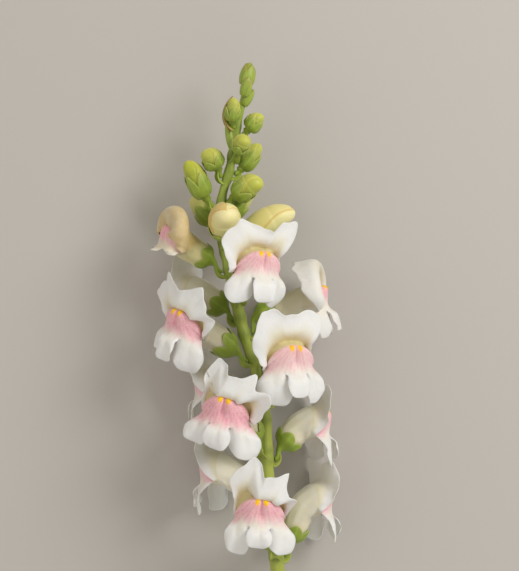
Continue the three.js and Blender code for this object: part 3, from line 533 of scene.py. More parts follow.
def low_lobes(arch, shares, lips, waves):
    """Outer face of the three lobes of the lower lip, for arch (N) and shares (R)."""
    shares = shares[:, None]
    lobe, place = lobe_place(arch)
    turn = np.pi * arch
    full = 0 * turn
    side = np.sign(np.cos(turn)) * (lobe != 1)  # +1 on the flower's right, -1 on its left
    outer = np.where(lobe == 0, -place, place)  # +1 at the corner of the mouth
    half, length, splay = np.array(lips["lobes"], float)[lobe].T
    neck = np.radians(np.where((lobe != 1) & (outer > 0), 142, 150)) * outer
    uneven = 0.026 * np.sin(3 * neck + waves[5] + lobe), 0.012 * np.sin(6 * neck + waves[6])
    end_down = length * (1 + uneven[0] + uneven[1]) * (0.5 + 0.5 * np.cos(neck))
    root_half = np.where(lobe == 1, MIDDLE_NECK, SIDE_NECK)
    # Below its neck a lobe is broad at once on the side of its neighbour, so that the two overlap.
    beside = (lobe == 1) | (outer < 0)
    wide = half * np.abs(np.sin(neck)) ** np.where(beside, 0.6, 1)
    kept = np.where(beside, 1.08 * root_half * (1 - ease(end_down, 1.5, 6)), 0)
    end_across = np.sign(neck) * np.maximum(wide, kept)
    across = lerp(root_half * outer * 0.95, end_across, shares**0.9)
    down = shares * end_down
    # Near its root a lobe follows the lip round the mouth; further down it is its own blade.
    own_ahead = unit(xyz(0.7 + 0.3 * np.sin(turn), 0.5 * np.cos(turn), full))
    own_down = unit(xyz(full, 0.1 * np.cos(turn), full - 1))
    by_root = bow(LOWER_ROOT, turn) + fall_of(own_ahead, own_down, down)
    ahead = unit(xyz(full + 0.8, 0.42 * side, full))
    falling = unit(xyz(full, splay * np.where(lobe == 1, 1, side), full - 1))
    aside = unit(xyz(-0.42 * np.abs(side), np.where(lobe == 1, -1, side), full))
    blade = bow(LOWER_ROOT, np.pi * LOBE_MIDDLES)[lobe] + fall_of(ahead, falling, down)
    blade = blade + aside * across[..., None] - ahead * (LOBE_CROWN * across**2)[..., None]
    # Beside a cleft a lobe is its own blade at once, so no hole opens between the two.
    by_cleft = beside * ease(np.abs(place), 0.4, 0.85)
    own = ease(down, 0.5 - 0.4 * by_cleft, 5.5 - 3.7 * by_cleft)
    points = lerp(by_root, blade, own[..., None])
    points[..., 0] += np.where(lobe == 1, 1.3, 0) * ease(down, 0.4, 3.4)
    wave = (
        0.7 * shares**2 * np.sin(2.6 * np.sin(neck) + waves[7] + 2 * lobe)
        + 0.55 * shares**3 * np.sin(3.5 * neck + waves[8] + lobe)
        + 0.26 * shares**5 * np.sin(6 * neck + waves[0])
        - 0.4 * hump(across, 1.1) * ease(shares, 0.1, 0.4) * (1 - ease(shares, 0.6, 1))
        - 0.2 * ease(shares, 0.8, 1)
    ) * ease(np.minimum(arch, 1 - arch), 0, 0.08)
    return points + ahead * wave[..., None]


def lower_lip(arch, shares, lips, waves):
    """Outer face of the lower lip: under the palate from the mouth to the root, then the lobes."""
    split = LIP_SPLIT[False]
    points = low_lobes(arch, np.maximum(0, (shares - split) / (1 - split)), lips, waves)
    start = bow(MOUTH, np.radians(MOUTH_FROM - (360 - MOUTH_SWEEP) * arch))
    root = bow(LOWER_ROOT, np.pi * arch)
    under = [start, start + [3, 0, 0], root - [0.6, 0, -2.6], root]
    before = np.array([bezier(under, np.full(len(arch), min(1, s / split)))[0] for s in shares])
    return np.where((shares < split)[:, None, None], before, points)


def palate_crest(arch):
    turn = np.pi * arch
    return xyz(
        -PALATE["back"] * np.cos(turn) ** 2 - PALATE["sunk"],
        PALATE["half"] * np.cos(turn),
        PALATE["height"] * (np.sin(turn) - 1),
    )


def bloom_front(upper, arch, shares, lip, reach):
    """From the lips (share 1) to the crest of the palate (share 0)."""
    bulge, aside = np.sin(np.pi * arch), np.cos(np.pi * arch)
    crest = palate_crest(arch)
    if upper:
        off = xyz(-0.6 * bulge, 0.5 * aside, 0.7 * bulge)
        back = np.full(len(arch), 1.2)
    else:
        off = xyz(1, 0.4 * aside, 0.16 * bulge) * (4.5 + 4.5 * bulge)[:, None]
        back = 2.5 + 2.5 * bulge
    controls = [crest, crest + off, lip - reach * back[:, None], lip]
    return np.array([bezier(controls, np.full(len(arch), s))[0] for s in shares])


def palate_spread(points):
    """Angle in degrees of points of the palate round a place just above its crest."""
    return np.degrees(np.arctan2(points[..., 1], 3.5 - points[..., 2]))


def palate_relief(spread, run):
    """Height of the palate's two cushions, the groove between them and the folds they carry."""
    spread = np.abs(spread)
    held = ease(run, 0.6, 3) * (1 - ease(run, 10, 14))
    return held * (
        -1.2 * hump(spread, 6.5) + 0.6 * hump(spread - 24, 13) - 0.24 * hump(spread - 15.5, 3.2)
        - 0.18 * hump(spread - 29, 3.6) - 0.1 * hump(spread - 41, 4)
    )


# ---- one bloom ------------------------------------------------------------------------------
def arch_places(hem):
    """Where the columns of a lip stand, 0 to 1, closer together at clefts, corners and folds."""
    even = np.linspace(0, 1, ARCH_FINE)
    near = np.array([-0.02, -0.01, -0.004, 0, 0.004, 0.01, 0.02])
    extra = [cleft + near for cleft in CLEFTS] + [[0.004, 0.01, 0.02, 0.98, 0.99, 0.996]]
    if "flap" in hem:
        low, high = sorted(hem["edge"])
        extra.append((np.arange(low - 4, high + 5, HEM_FINE) + 90 - MOUTH_FROM) / MOUTH_SWEEP)
    extra = np.concatenate(extra)
    kept = [x for x in even if np.min(np.abs(extra - x)) > 0.0035]
    return np.array(sorted([*kept, *extra]))


def way_in(grid, arch, upper):
    """The way into the petal at every point of a lip: across its rings and its columns."""
    along = np.gradient(grid, axis=0)
    clefts = [] if upper else [int(np.argmin(np.abs(arch - cleft))) for cleft in CLEFTS]
    cuts = [0, *clefts, len(arch) - 1]
    found = np.zeros(grid.shape)
    for first, last in zip(cuts, cuts[1:]):
        part = slice(first, last + 1)
        across = np.gradient(grid[:, part], axis=1)
        found[:, part] += unit(np.cross(along[:, part], across))
    return unit(found) * (1 if upper else -1)


def fillet(grid, ring, reach, rounds):
    """Softens the bend at one ring, along the columns."""
    share = (0.5 * hump(np.arange(len(grid)) - ring, reach))[1:-1, None, None]
    for _ in range(rounds):
        grid[1:-1] = lerp(grid[1:-1], (grid[:-2] + grid[2:]) / 2, share)
    return grid


def one_lip(upper, arch, lips, waves):
    """The rings of a lip, out from the mouth to its hem, back inside it and over its half of the
    palate to the crest, and the marks that its finish reads there."""
    split = LIP_SPLIT[upper]
    sheet = lerp(split, 1, np.linspace(0, 1, SHEET_RINGS))
    out_shares = np.concatenate([np.linspace(0, split, THROAT_RINGS)[1:-1], sheet])
    first = len(out_shares) - len(sheet)
    outer = (hood if upper else lower_lip)(arch, out_shares, lips, waves)
    thick = PETAL * lerp(1, EDGE_THIN, ease(sheet, 0.5, 1))[:, None, None]
    inner = (outer[first:] + way_in(outer, arch, upper)[first:] * thick)[::-1]
    front_shares = np.linspace(1, 0, FRONT_RINGS)[1:]
    reach = unit(outer[first + 1] - outer[first])
    front = bloom_front(upper, arch, front_shares, inner[-1], reach)
    column = fillet(np.concatenate([inner, front]), len(inner), *HEM_FILLET[upper])
    inner, front = column[:len(inner)], column[len(inner):]
    run = np.linalg.norm(np.diff(column, axis=0), axis=-1)[::-1]
    run = np.vstack([0 * run[:1], np.cumsum(run, axis=0)])[::-1]
    spread = palate_spread(column)
    if not upper:
        column[..., 0] += palate_relief(spread, run) * ease(96 - column[..., 1] ** 2, 0, 40)
    # The two lips meet in one point at each corner of the mouth.
    corner = np.where(arch[:, None] < 0.5, palate_crest(np.zeros(1)), palate_crest(np.ones(1)))
    hold = ease(np.minimum(arch, 1 - arch), 0, 0.055)[:, None]
    outer = lerp(corner, outer, lerp(1, hold, ease(out_shares, 0, 0.25)[:, None, None]))
    easing = lerp(1, hold, np.minimum(1, front_shares[:-1] * 3)[:, None, None])
    front[:-1] = lerp(corner, front[:-1], easing)
    points = np.concatenate([outer, lerp(corner, inner, hold), front])

    # The outer face has no palate on it, so it counts as far from the palate's crest and middle.
    away = np.full(outer.shape[:2], FAR_AWAY)
    shares = np.concatenate([out_shares, sheet[::-1], front_shares * split])[:, None]
    within = np.arange(len(shares))[:, None] >= len(outer)
    y, run = np.concatenate([away, column[..., 1]]), np.concatenate([0 * away + run[:1] + 9, run])
    aside = np.abs(y)
    crest, long = (0, 0.1) if upper else (SPOT["below"], SPOT["long"])
    spots = hump(np.hypot((aside - SPOT["apart"]) / SPOT["wide"], (run - crest) / long), 1)
    amber, tan = 0, lips["tan"]
    if upper:
        pink = 0.12 * (1 - ease(run, 0, 1.2)) * (1 - ease(aside, 5, 9))
        # Cream towards the throat, partly the petal's own tint and partly painted shade; the extra
        # near the crest is painted shade on the shelf under the hood.
        deep = 1.25 - 1.25 * ease(shares, 0.2, 0.75) + 1.2 * (1 - ease(shares, 0.05, 0.24))
        fan = MOUTH_SWEEP * arch / 6
    else:
        flushed = lips["flush"] + 0.5 * np.sin(1.1 * y + waves[3])
        pink = 1 - ease(run - (flushed - 0.075 * np.minimum(aside, 11) ** 1.8), -5.5, 1.8)
        deep = 0.35 * (1 - ease(shares, split, 0.7))
        fan = np.concatenate([0 * away + arch * 26, spread / 7.4])
        tan = lips["tan"] * LOWER_TAN
        amber = hump(np.concatenate([away, np.abs(spread)]) - 15, 8)
        amber = amber * (1 - ease(run, 4, 9.5)) * ease(run, 0, 2)
    marks = {
        "blush": lips["pink"] * pink * within,
        "gold": spots * within * (lips["young"] < 0.5),  # a young palate has no spots yet
        "amber": amber, "cream": np.where(within, deep, 1 - ease(shares, 0.0, 0.6)), "fan": fan,
        "young": YOUNG_LIP * lips["young"], "tan": tan,
    }
    return points, {key: np.broadcast_to(value, y.shape) for key, value in marks.items()}


def corolla(tube, lips, seed):
    """A whole corolla as one closed skin, in its own frame, with the marks its finish reads."""
    waves = np.random.default_rng(seed).uniform(0, 2 * np.pi, 9)
    arch = arch_places(HEMS.get(lips["name"], {}))
    top, top_marks = one_lip(True, arch, lips, waves)
    low, low_marks = one_lip(False, arch[1:-1], lips, waves)
    lower = (MOUTH_SWEEP - 360) * arch[1:-1][::-1]
    angles = np.radians(MOUTH_FROM + np.concatenate([MOUTH_SWEEP * arch, lower]))
    shares = np.linspace(0, 1, TUBE_RINGS)[1:, None] ** 1.1
    ribs = 0.1 * np.cos(10 * angles) * ease(shares, 0.15, 0.6) * (1 - ease(shares, 0.8, 1))
    rings = section(tube, shares[:, 0], angles, ribs)
    points = np.concatenate([rings, np.concatenate([top, low[:, ::-1]], axis=1)])
    points = fillet(points, len(rings), *MOUTH_FILLET)
    # Along the tube, then over the lips, then at the point that closes the foot.
    tube_marks = {
        "blush": (0, 0), "gold": (0, 0), "amber": (0, 0), "cream": (lerp(1.2, 0.6, shares), 1.6),
        "fan": (np.degrees(angles) / 9, 0), "young": (lips["young"], 0),
        "tan": (lips["tan"] * ease(np.sin(angles) + 2.6 * shares - 1.8, -0.3, 0.9), 0),
    }
    marks = {}
    for key, (along, foot) in tube_marks.items():
        over = np.concatenate([top_marks[key], low_marks[key][:, ::-1]], axis=1)
        marks[key] = np.concatenate([np.broadcast_to(along, rings.shape[:2]), over]), foot
    return *capped(points, tube["line"][0]), marks_on(points, **marks)


def bloom_frame(face):
    """Matrix that turns a bloom from its own frame to the stem's."""
    turned, nod, roll = np.radians(face)
    facing = np.array([np.sin(turned) * np.cos(nod), -np.sin(nod), np.cos(turned) * np.cos(nod)])
    side = unit(np.cross([0, 1, 0], facing))
    up = np.cross(facing, side)
    return np.stack([
        facing, side * np.cos(roll) + up * np.sin(roll), up * np.cos(roll) - side * np.sin(roll)
    ], axis=1)


# ---- the stem -------------------------------------------------------------------------------
def stem_at(y):
    """Middle and radius of the stem at height y along it, for one y or many."""
    y = np.asarray(y, float)
    x, z, width = (curve_through(y, STEM_LINE[:, 0], STEM_LINE[:, k]) for k in (1, 2, 3))
    return xyz(x, y, z), width / 2


def stem_frame(y):
    middle, radius = stem_at(y)
    ahead = unit(stem_at(np.asarray(y) + 0.5)[0] - stem_at(np.asarray(y) - 0.5)[0])
    side = unit(np.array([1.0, 0, 0]) - ahead * ahead[..., :1])
    return middle, radius, ahead, side, np.cross(side, ahead)


def stem_skin(y, towards, off=0.0):
    """Place on the stem's skin at height y on a flower's side, the way out, and the way ahead."""
    middle, radius, ahead, _, _ = stem_frame(y)
    out = np.asarray(towards, float) - middle
    out = unit(out - ahead * (out @ ahead))
    return middle + out * (radius + NODE_SWELL + off), out, ahead


def foot_of(node, towards, reach, rise):
    """Where a flower's stalk starts and its way there, then the same for its tube."""
    place, out, ahead = stem_skin(node, towards, GAP)
    return place, out, place + out * reach + ahead * rise, unit(out + ahead * 0.9)


def stem_shell():
    nodes = np.array([f["node"] for f in BLOOMS + BUDS] + LEAF_SCARS)
    heights = [STEM_FOOT, STEM_FOOT + 0.4, *np.arange(STEM_FOOT + 1.4, STEM_TIP, 1.1), STEM_TIP]
    along = np.array(heights)[:, None]
    middle, radius, ahead, side, up = stem_frame(along[:, 0])
    angles = once_round(36)
    swell = hump(along - nodes, 2).max(axis=1)
    ribs = 0.07 * np.cos(5 * (angles + along * 0.004)) + 0.03 * np.cos(11 * angles + along * 0.01)
    wide = (radius + NODE_SWELL * swell)[:, None] - 0.08 + ribs
    slant = CUT_SLANT / 2 * (1 - ease(along, STEM_FOOT, STEM_FOOT + CUT_SLANT_END))
    points = rings_round(middle, side, up, wide, wide, angles)
    points = points + ahead[:, None] * (slant * np.sin(angles))[..., None]
    # The cut face sinks a little inside its rim.
    centre = points[0].mean(axis=0)
    dish = [
        lerp(points[0], centre, inwards) + ahead[0] * depth
        for inwards, depth in ((0.85, PITH_DEPTH), (0.5, 0.25), (0.12, 0.02))
    ]
    points = np.concatenate([dish, points])
    before = np.zeros(len(dish))
    cut = np.arange(len(points)) < len(dish)
    return *capped(points, centre + ahead[0] * PITH_DEPTH, middle[-1]), marks_on(
        points, cut=(cut[:, None], 1, 0),
        along=(np.append(before + STEM_FOOT, along)[:, None], STEM_FOOT, STEM_TIP),
        joint=(np.append(before, swell)[:, None], 0, 0), rim=(0, 0, 0),
    )


def blade_shell(root, out, ahead, length, width, lift, tan_rim=0.0):
    """A pointed bract, folded along its midrib and closed to a thin blade."""
    side = unit(np.cross(out, ahead))
    lengthwise, across = np.linspace(0, 1, 18)[:, None], np.linspace(-1, 1, 13)
    slope = np.radians(lerp(*lift, lengthwise))
    way = out * np.sin(slope) + ahead * np.cos(slope)
    off = (ahead * -np.sin(slope) + out * np.cos(slope))[:, None]
    half = width / 2 * np.sin(np.pi * np.clip(lengthwise * 0.68 + 0.32, 0, 1)) ** 0.8
    half[-1] = 0.05
    middle = root + way * (lengthwise * length)
    fold = 0.55 * np.abs(across) ** 1.6 * half
    top = middle[:, None] + side * (across * half)[..., None] + off * (fold + 0.24)[..., None]
    rings = np.concatenate([top, (top - off * 0.38)[:, ::-1]], axis=1)
    edge = np.abs(np.append(across, across[::-1]))
    rim = np.maximum(ease(edge, 0.75, 1), ease(lengthwise, 0.85, 1)) * tan_rim
    return *capped(rings, root - out * 0.2, rings[-1].mean(axis=0)), marks_on(
        rings, cut=(0, 0, 0), along=(root[1],) * 3, joint=(0, 0, 0), rim=(rim, 0, tan_rim),
    )


# ---- calyx and bud --------------------------------------------------------------------------
def calyx(tube, stem_point, stem_way, cover, flared):
    """Five sepals grown together at the foot of a tube, and the stalk that carries them."""
    foot, way = tube["line"][0], tube["start"]
    span = np.linalg.norm(foot - stem_point)
    radii = np.array(PEDICEL_WIDTHS) / 2
    stalk = {
        "line": [stem_point, stem_point + stem_way * span * 0.35, foot - way * span * 0.4,
                 foot - way * 0.6],
        "shares": PEDICEL_SHARES, "across": radii, "up": radii, "side": tube["side"],
    }
    count = CALYX_COLUMNS
    angles = np.radians(90) + once_round(count)
    across = (np.linspace(0, 5, count, endpoint=False) + 0.5) % 1 * 2 - 1
    outline = np.maximum(0, 1 - np.abs(across) ** 1.55) ** 0.85
    tips = lerp(SEPAL_VALLEY * cover, cover, outline)
    keel = hump(across, 0.16)

    def cup(level, off):
        """One ring of the cup: level 0 at its foot to 1 at the sepals' edge."""
        shares = lerp(CUP_WHOLE, tips, level)
        skin = section(tube, shares, angles)[np.arange(count), np.arange(count)]
        axis = bezier(tube["line"], shares)[0]
        room = np.linalg.norm(skin - axis, axis=-1) * 0.05 * flared
        flare = CUP_FLARE * flared * level**2 * (0.7 + 0.5 * hump(across, 0.5))
        return skin + unit(skin - axis) * (off + room + flare)[:, None]

    levels = np.linspace(0, 1, CUP_RINGS)
    outer = [
        cup(level, FINE_GAP + lerp(SEPAL, SEPAL_EDGE, level**2)
            + KEEL * keel * np.sin(np.pi * min(1, level + 0.15)))
        for level in levels
    ]
    inner = [cup(level, FINE_GAP) for level in levels[::-1]]
    stalk_rings = section(stalk, np.linspace(0, 0.94, STALK_RINGS), angles)
    base = section(tube, [CUP_START, CUP_FLOOR], angles, FINE_GAP + SEPAL * 0.9)
    hollow = section(tube, [CUP_FLOOR, CUP_START], angles, FINE_GAP)
    rings = np.concatenate([stalk_rings, base, outer, inner, hollow])
    before = np.zeros(len(stalk_rings) + len(base))
    reach = np.concatenate([before, levels, levels[::-1], [0, 0]])
    inside = np.arange(len(rings)) >= len(before) + len(levels)
    return *capped(rings, stem_point, foot - way * GAP * 1.5), marks_on(
        rings, reach=(reach[:, None], 0, 0), keel=(keel, 0, 0), inside=(inside[:, None], 0, 1),
    )


def bud_tube(foot, tip, width, way, out):
    length = np.linalg.norm(tip - foot)
    widths = np.array(BUD_WIDTHS) * width / 2
    return {
        "line": [foot, foot + way * length * 0.4, tip], "shares": BUD_SHARES, "across": widths,
        "up": widths, "side": unit(np.cross(way, out)), "start": way,
    }


def bud_shell(tube, width, ripe, worn):
    """A closed bud: the two lobes of the hood overlap and are folded down over the lower lip."""
    angles = once_round(BUD_COLUMNS)
    shares = 1 - (1 - np.linspace(0, 1, BUD_RINGS)[1:-1]) ** 1.7
    share = shares[:, None]
    from_top = (np.degrees(angles) - 90 + 180) % 360 - 180
    margin = lerp(*HOOD_HALF, ease(share, 0.4, 1)) + 6 * np.sin(9 * share)
    over = ease(margin - np.abs(from_top), -3, 3) * ease(share, 0.28, 0.5)
    past_seam = from_top - 9 * np.sin(4.5 * share + width)
    lapped = np.where(past_seam > 0, 1 - ease(past_seam, 0, 62), ease(past_seam, -3.5, 0))
    lapped = lapped * ease(share, 0.3, 0.6)
    crease = hump(past_seam + 3, 5) * ease(share, 0.35, 0.7)
    seam = hump(np.abs(from_top) - margin - 3, 4.5) * ease(share, 0.3, 0.5)
    size = width / 12
    relief = (0.5 * over + 0.5 * lapped - 0.2 * crease - 0.3 * seam) * size * (0.85 + 0.15 * ripe)
    relief = relief * (1 - ease(share, 0.95, 1)) - 0.3 * size
    middle, ahead = bezier(tube["line"], shares)
    side, up = ways_across(ahead, tube["side"])
    slender = np.maximum(curve_through(shares, BUD_SHARES[:-1], BUD_WIDTHS[:-1]), 0.2 * shares)
    dome = 0.96 * np.sqrt(np.maximum(0, 1 - ((shares - DOME_FROM) / (1 - DOME_FROM)) ** 2))
    radius = np.where(shares > DOME_FROM, dome, slender)[:, None] * width / 2
    wide = radius + relief * np.minimum(1, radius / 1.5)
    nose = -up * (0.1 * width * ease(share, 0.72, 1))
    rings = rings_round(middle + nose, side, up, wide, wide, angles)
    return *capped(rings, tube["line"][0], tube["line"][-1] + nose[-1]), marks_on(
        rings, reach=(share, 0, 1), fold=(np.maximum(crease, seam), 0, 0), flap=(over, 0, 1),
        left=(worn * (over * ease(past_seam, -4, 2)), 0, worn * 0.5), ripe=(ripe, ripe, ripe),
        fan=(from_top / 7, 0, 0),
    )


def budlet_shell(foot, tip, width, first_scale):
    """A green bud at the tip, still wrapped in three pointed scales that overlap."""
    way = unit(tip - foot)
    tube = bud_tube(foot, tip, width, way, np.array([0.0, 0, 1]))
    angles = once_round(BUDLET_COLUMNS)
    shares = 1 - (1 - np.linspace(0, 1, BUDLET_RINGS)[1:-1]) ** 1.3
    share = shares[:, None]
    relief, rim, gap = np.zeros((3, len(shares), len(angles)))
    for scale in range(3):
        centre = first_scale + SCALE_TURN * scale
        away = np.abs((np.degrees(angles) - centre + 180) % 360 - 180)
        edge = SCALE_HALF * np.maximum(0, 1 - (share * 1.06) ** 3.2) ** 0.6
        on = ease(edge - away, -5, 5)
        height = (0.75 - 0.2 * scale) * width / 6
        rim = np.where(on * height > relief, hump(edge - away - 4, 8), rim)
        gap = np.maximum(gap * (1 - on), hump(edge - away + 5, 6))
        relief = np.maximum(relief, on * (height + 0.12 * hump(away, 9)))
    middle, ahead = bezier(tube["line"], shares)
    radius = np.sqrt(np.maximum(0, np.sin(np.pi * np.clip(share * 0.86 + 0.14, 0, 1)))) * width / 2
    wide = radius * 0.86 + relief * np.minimum(1, radius)
    rings = rings_round(middle, *ways_across(ahead, tube["side"]), wide, wide, angles)
    browned = rim * (0.25 + 0.75 * ease(share, 0.5, 0.95))
    return *capped(rings, foot, tip), marks_on(
        rings, cut=(0, 0, 0), along=(88, 88, 88), joint=(gap, 0, 0), rim=(browned, 0, 0.8),
    )


# ---- finishes -------------------------------------------------------------------------------
TIMES, TIMES_PLUS = "ShaderNodeMath MULTIPLY", "ShaderNodeMath MULTIPLY_ADD"
PLUS, POWER, COSINE = "ShaderNodeMath ADD", "ShaderNodeMath POWER", "ShaderNodeMath COSINE"
BLEND = "ShaderNodeMix"
FULL_TURN = 6.2832
BUMP_DEPTH = 0.0004


def linear(code):
    """An sRGB hex colour as linear red, green, blue and alpha."""
    parts = [int(code[i:i + 2], 16) / 255 for i in (1, 3, 5)]
    return (*[c / 12.92 if c <= 0.04045 else ((c + 0.055) / 1.055) ** 2.4 for c in parts], 1.0)


def node(tree, kind, *sources, out=0, **settings):
    """Adds a node and gives one of its outputs. A kind may end in what it does. The sources fill
    its sockets in order, or by number where they are a dict: each is an output to link, a number
    or a hex colour."""
    kind, *does = kind.split()
    made = tree.nodes.new(kind)
    for name, value in [("operation", what) for what in does] + [*settings.items()]:
        setattr(made, name, value)
    by_number = sources and isinstance(sources[0], dict)
    for socket, source in (sources[0] if by_number else dict(enumerate(sources))).items():
        if isinstance(source, bpy.types.NodeSocket):
            tree.links.new(source, made.inputs[socket])
        else:
            value = linear(source) if isinstance(source, str) else source
            made.inputs[socket].default_value = value
    return made.outputs[out]


def marks_of(add, *names):
    """The marks that a skin carries at each of its points."""
    return [add("ShaderNodeAttribute", attribute_name=name, out="Fac") for name in names]


def grain(add, millimetres, detail=2.0, stretch=(1, 1, 1)):
    """Mottling with clumps of a given size, read in the part's own frame."""
    where = add("ShaderNodeTexCoord", out="Object")
    where = add("ShaderNodeMapping", {0: where, 3: stretch})
    return add("ShaderNodeTexNoise", {0: where, 2: 1000 / millimetres, 3: detail})


def threads(add, fan, wander, sharp):
    """Fine lines along a petal, one for each whole number of `fan`, led aside by `wander`."""
    turned = add(TIMES, add(PLUS, fan, wander), FULL_TURN)
    wave = add(TIMES_PLUS, add(COSINE, turned), 0.5, 0.5)
    return add(POWER, wave, sharp)


def coats(add, base, *layers):
    """Colours laid one over another: where each lies, how strongly, and its colour."""
    for share, strength, colour in layers:
        cover = add(TIMES, share, strength, use_clamp=True)
        base = add(BLEND, {0: cover, 6: base, 7: colour}, out=2, data_type="RGBA")
    return base


def fresh(name, build):
    """A plant tissue finish: build(add) gives colour, roughness, height and plain settings."""
    finish = bpy.data.materials.new(name)
    finish.use_nodes = True
    tree = finish.node_tree
    add = partial(node, tree)
    shader = tree.nodes["Principled BSDF"]
    colour, roughness, height, numbers = build(add)
    tree.links.new(colour, shader.inputs["Base Color"])
    tree.links.new(roughness, shader.inputs["Roughness"])
    bumped = add("ShaderNodeBump",
                 {"Strength": numbers.pop("bump"), "Distance": BUMP_DEPTH, "Height": height})
    tree.links.new(bumped, shader.inputs["Normal"])
    for socket, value in numbers.items():
        shader.inputs[socket].default_value = value
    return finish


def petal_build(add):
    """Snapdragon petal: a soft velvet of tiny domed cells. It scatters light, so it glows where
    it is thin, and only shines at a low angle. White, cream towards the throat with painted
    shade over it, a darker painted shade on the shelf above the crest, a pink palate with
    darker blotched threads and a pale down, and two gold spots on the crest."""
    blush, gold, amber, cream, fan, young, tan = marks_of(
        add, "blush", "gold", "amber", "cream", "fan", "young", "tan")
    cloud, patches, fine = grain(add, 6.0, 3.0), grain(add, 1.5), grain(add, 0.42)
    wander = add(TIMES, grain(add, 5.0), 1.1)
    veins, streaks = threads(add, fan, wander, 6.0), threads(add, fan, wander, 1.6)
    blotched = add(TIMES_PLUS, patches, 3.2, -1.1, use_clamp=True)
    hairs = add(TIMES_PLUS, fine, 4.0, -1.85, use_clamp=True)
    pink = add(TIMES, blush, add(TIMES_PLUS, cloud, 0.55, 0.62))
    deep_pink = add(TIMES, add(TIMES, streaks, blotched), blush)
    down = add(TIMES, blush, hairs)
    ragged = add(TIMES_PLUS, patches, 1.6, -1.6)
    spot = add(TIMES_PLUS, gold, 3.0, ragged, use_clamp=True)
    # Cream towards the throat, partly the petal's own tint and partly painted shade.
    cream_and_shade = add(TIMES, cream, add(TIMES_PLUS, cloud, 0.5, 0.45))
    # Painted shade: a darker olive coat on the shelf between the crest and the hood, where cream is
    # above 1.3.
    painted_shelf_shade = add(TIMES_PLUS, cream, 1.0, -1.3, use_clamp=True)
    patchy = add(TIMES_PLUS, cloud, 0.9, 0.4)
    base = coats(
        add, "#ECEBE9", (cream_and_shade, 0.9, "#D8CD9C"), (painted_shelf_shade, 0.5, "#C2B67C"),
        (young, 0.8, "#E9E39C"), (tan, patchy, "#CEAC60"), (veins, 0.035, "#CDBFA4"),
        (pink, 1.0, "#EFB2BC"), (deep_pink, 0.55, "#DA7D95"), (amber, 0.35, "#EFA268"),
        (down, 0.4, "#FBEAE8"), (spot, 1.0, "#FFC60A"),
    )
    roughness = add(TIMES_PLUS, cloud, 0.14, 0.48)
    soft_folds = add(TIMES_PLUS, grain(add, 4.5, 1.0), 1.8, add(TIMES, veins, 0.07))
    return base, roughness, add(TIMES_PLUS, fine, 0.35, soft_folds), {
        "bump": 0.35, "Subsurface Weight": 0.35, "Subsurface Radius": (1.0, 0.75, 0.6),
        "Subsurface Scale": 0.0016, "Sheen Weight": 0.2, "Sheen Roughness": 0.4, "IOR": 1.4,
    }


def sepal_build(add):
    """Sepal: leaf skin with a wax bloom, lighter along its keel and edge, a satin shine."""
    reach, keel, inside = marks_of(add, "reach", "keel", "inside")
    cloud, fine = grain(add, 2.6, 3.0), grain(add, 0.4)
    base = coats(
        add, "#6F8A28", (cloud, 1.0, "#9DAF3E"), (keel, 0.35, "#AFC258"),
        (add(POWER, reach, 5.0), 0.5, "#C6CC6E"), (inside, 0.4, "#B5CB78"),
    )
    roughness = add(TIMES_PLUS, cloud, 0.2, 0.36)
    return base, roughness, add(TIMES_PLUS, fine, 0.5, add(TIMES, keel, 0.4)), {
        "bump": 0.45, "Subsurface Weight": 0.18, "Subsurface Radius": (0.5, 0.9, 0.25),
        "Subsurface Scale": 0.001, "Sheen Weight": 0.12, "IOR": 1.42,
    }


def bud_build(add):
    """Closed bud: young petals, waxy and green at first, then cream with tan folded edges."""
    reach, fold, flap, left, ripe, fan = marks_of(
        add, "reach", "fold", "flap", "left", "ripe", "fan")
    cloud, fine = grain(add, 3.0, 3.0), grain(add, 0.4)
    veins = threads(add, fan, add(TIMES, cloud, 0.8), 4.0)
    tanned = add(TIMES, left, ripe)
    worn = add(TIMES, add(TIMES_PLUS, ripe, 0.75, 0.25), fold)
    opened = add(BLEND, {0: reach, 6: "#CFD070", 7: "#F2E8B0"}, out=2, data_type="RGBA")
    patchy = add(TIMES_PLUS, cloud, 2.6, -0.85, use_clamp=True)
    base = coats(
        add, "#7F962A", (add(POWER, reach, 2.2), 1.0, "#C8CC40"),
        (patchy, 0.45, "#9EA83E"), (ripe, 1.0, opened), (flap, 0.22, "#DFD870"),
        (tanned, 0.7, "#D3B062"), (worn, 0.65, "#DBA530"), (veins, 0.12, "#9AA03C"),
    )
    roughness = add(TIMES_PLUS, cloud, 0.18, 0.36)
    return base, roughness, add(TIMES_PLUS, fine, 0.3, add(TIMES, veins, 0.08)), {
        "bump": 0.35, "Subsurface Weight": 0.25, "Subsurface Radius": (1.0, 0.85, 0.4),
        "Subsurface Scale": 0.0012, "Sheen Weight": 0.15, "IOR": 1.4,
    }


def stem_build(add):
    """Living stem: green skin with faint lengthwise ribs and a wax bloom, darker at the nodes,
    paler towards the tip, and a moist pale pith on the cut."""
    cut, length_along, joint, rim = marks_of(add, "cut", "along", "joint", "rim")
    cloud, fibres = grain(add, 5.0, 3.0, (1, 0.25, 1)), grain(add, 0.7, 2.0, (1, 0.04, 1))
    pith = add(BLEND, {0: cloud, 6: "#DDE2B4", 7: "#BFCB86"}, out=2, data_type="RGBA")
    towards_tip = add(TIMES_PLUS, length_along, 0.006, 0.45, use_clamp=True)
    base = coats(
        add, "#A6AE48", (towards_tip, 1.0, "#8FA836"), (cloud, 0.5, "#95A63C"),
        (fibres, 0.28, "#BFCB78"), (joint, 0.45, "#66762C"), (rim, 0.8, "#B07C48"),
        (cut, 1.0, pith),
    )
    return base, add(TIMES_PLUS, cloud, 0.2, 0.34), fibres, {
        "bump": 0.4, "Subsurface Weight": 0.12, "Subsurface Radius": (0.5, 0.9, 0.25),
        "Subsurface Scale": 0.001, "Sheen Weight": 0.1, "IOR": 1.42,
    }


snapdragon_petal = fresh("snapdragon_petal", petal_build)
sepal_green = fresh("waxy_sepal", sepal_build)
closed_bud = fresh("closed_bud_petal", bud_build)
living_stem = fresh("living_green_stem", stem_build)


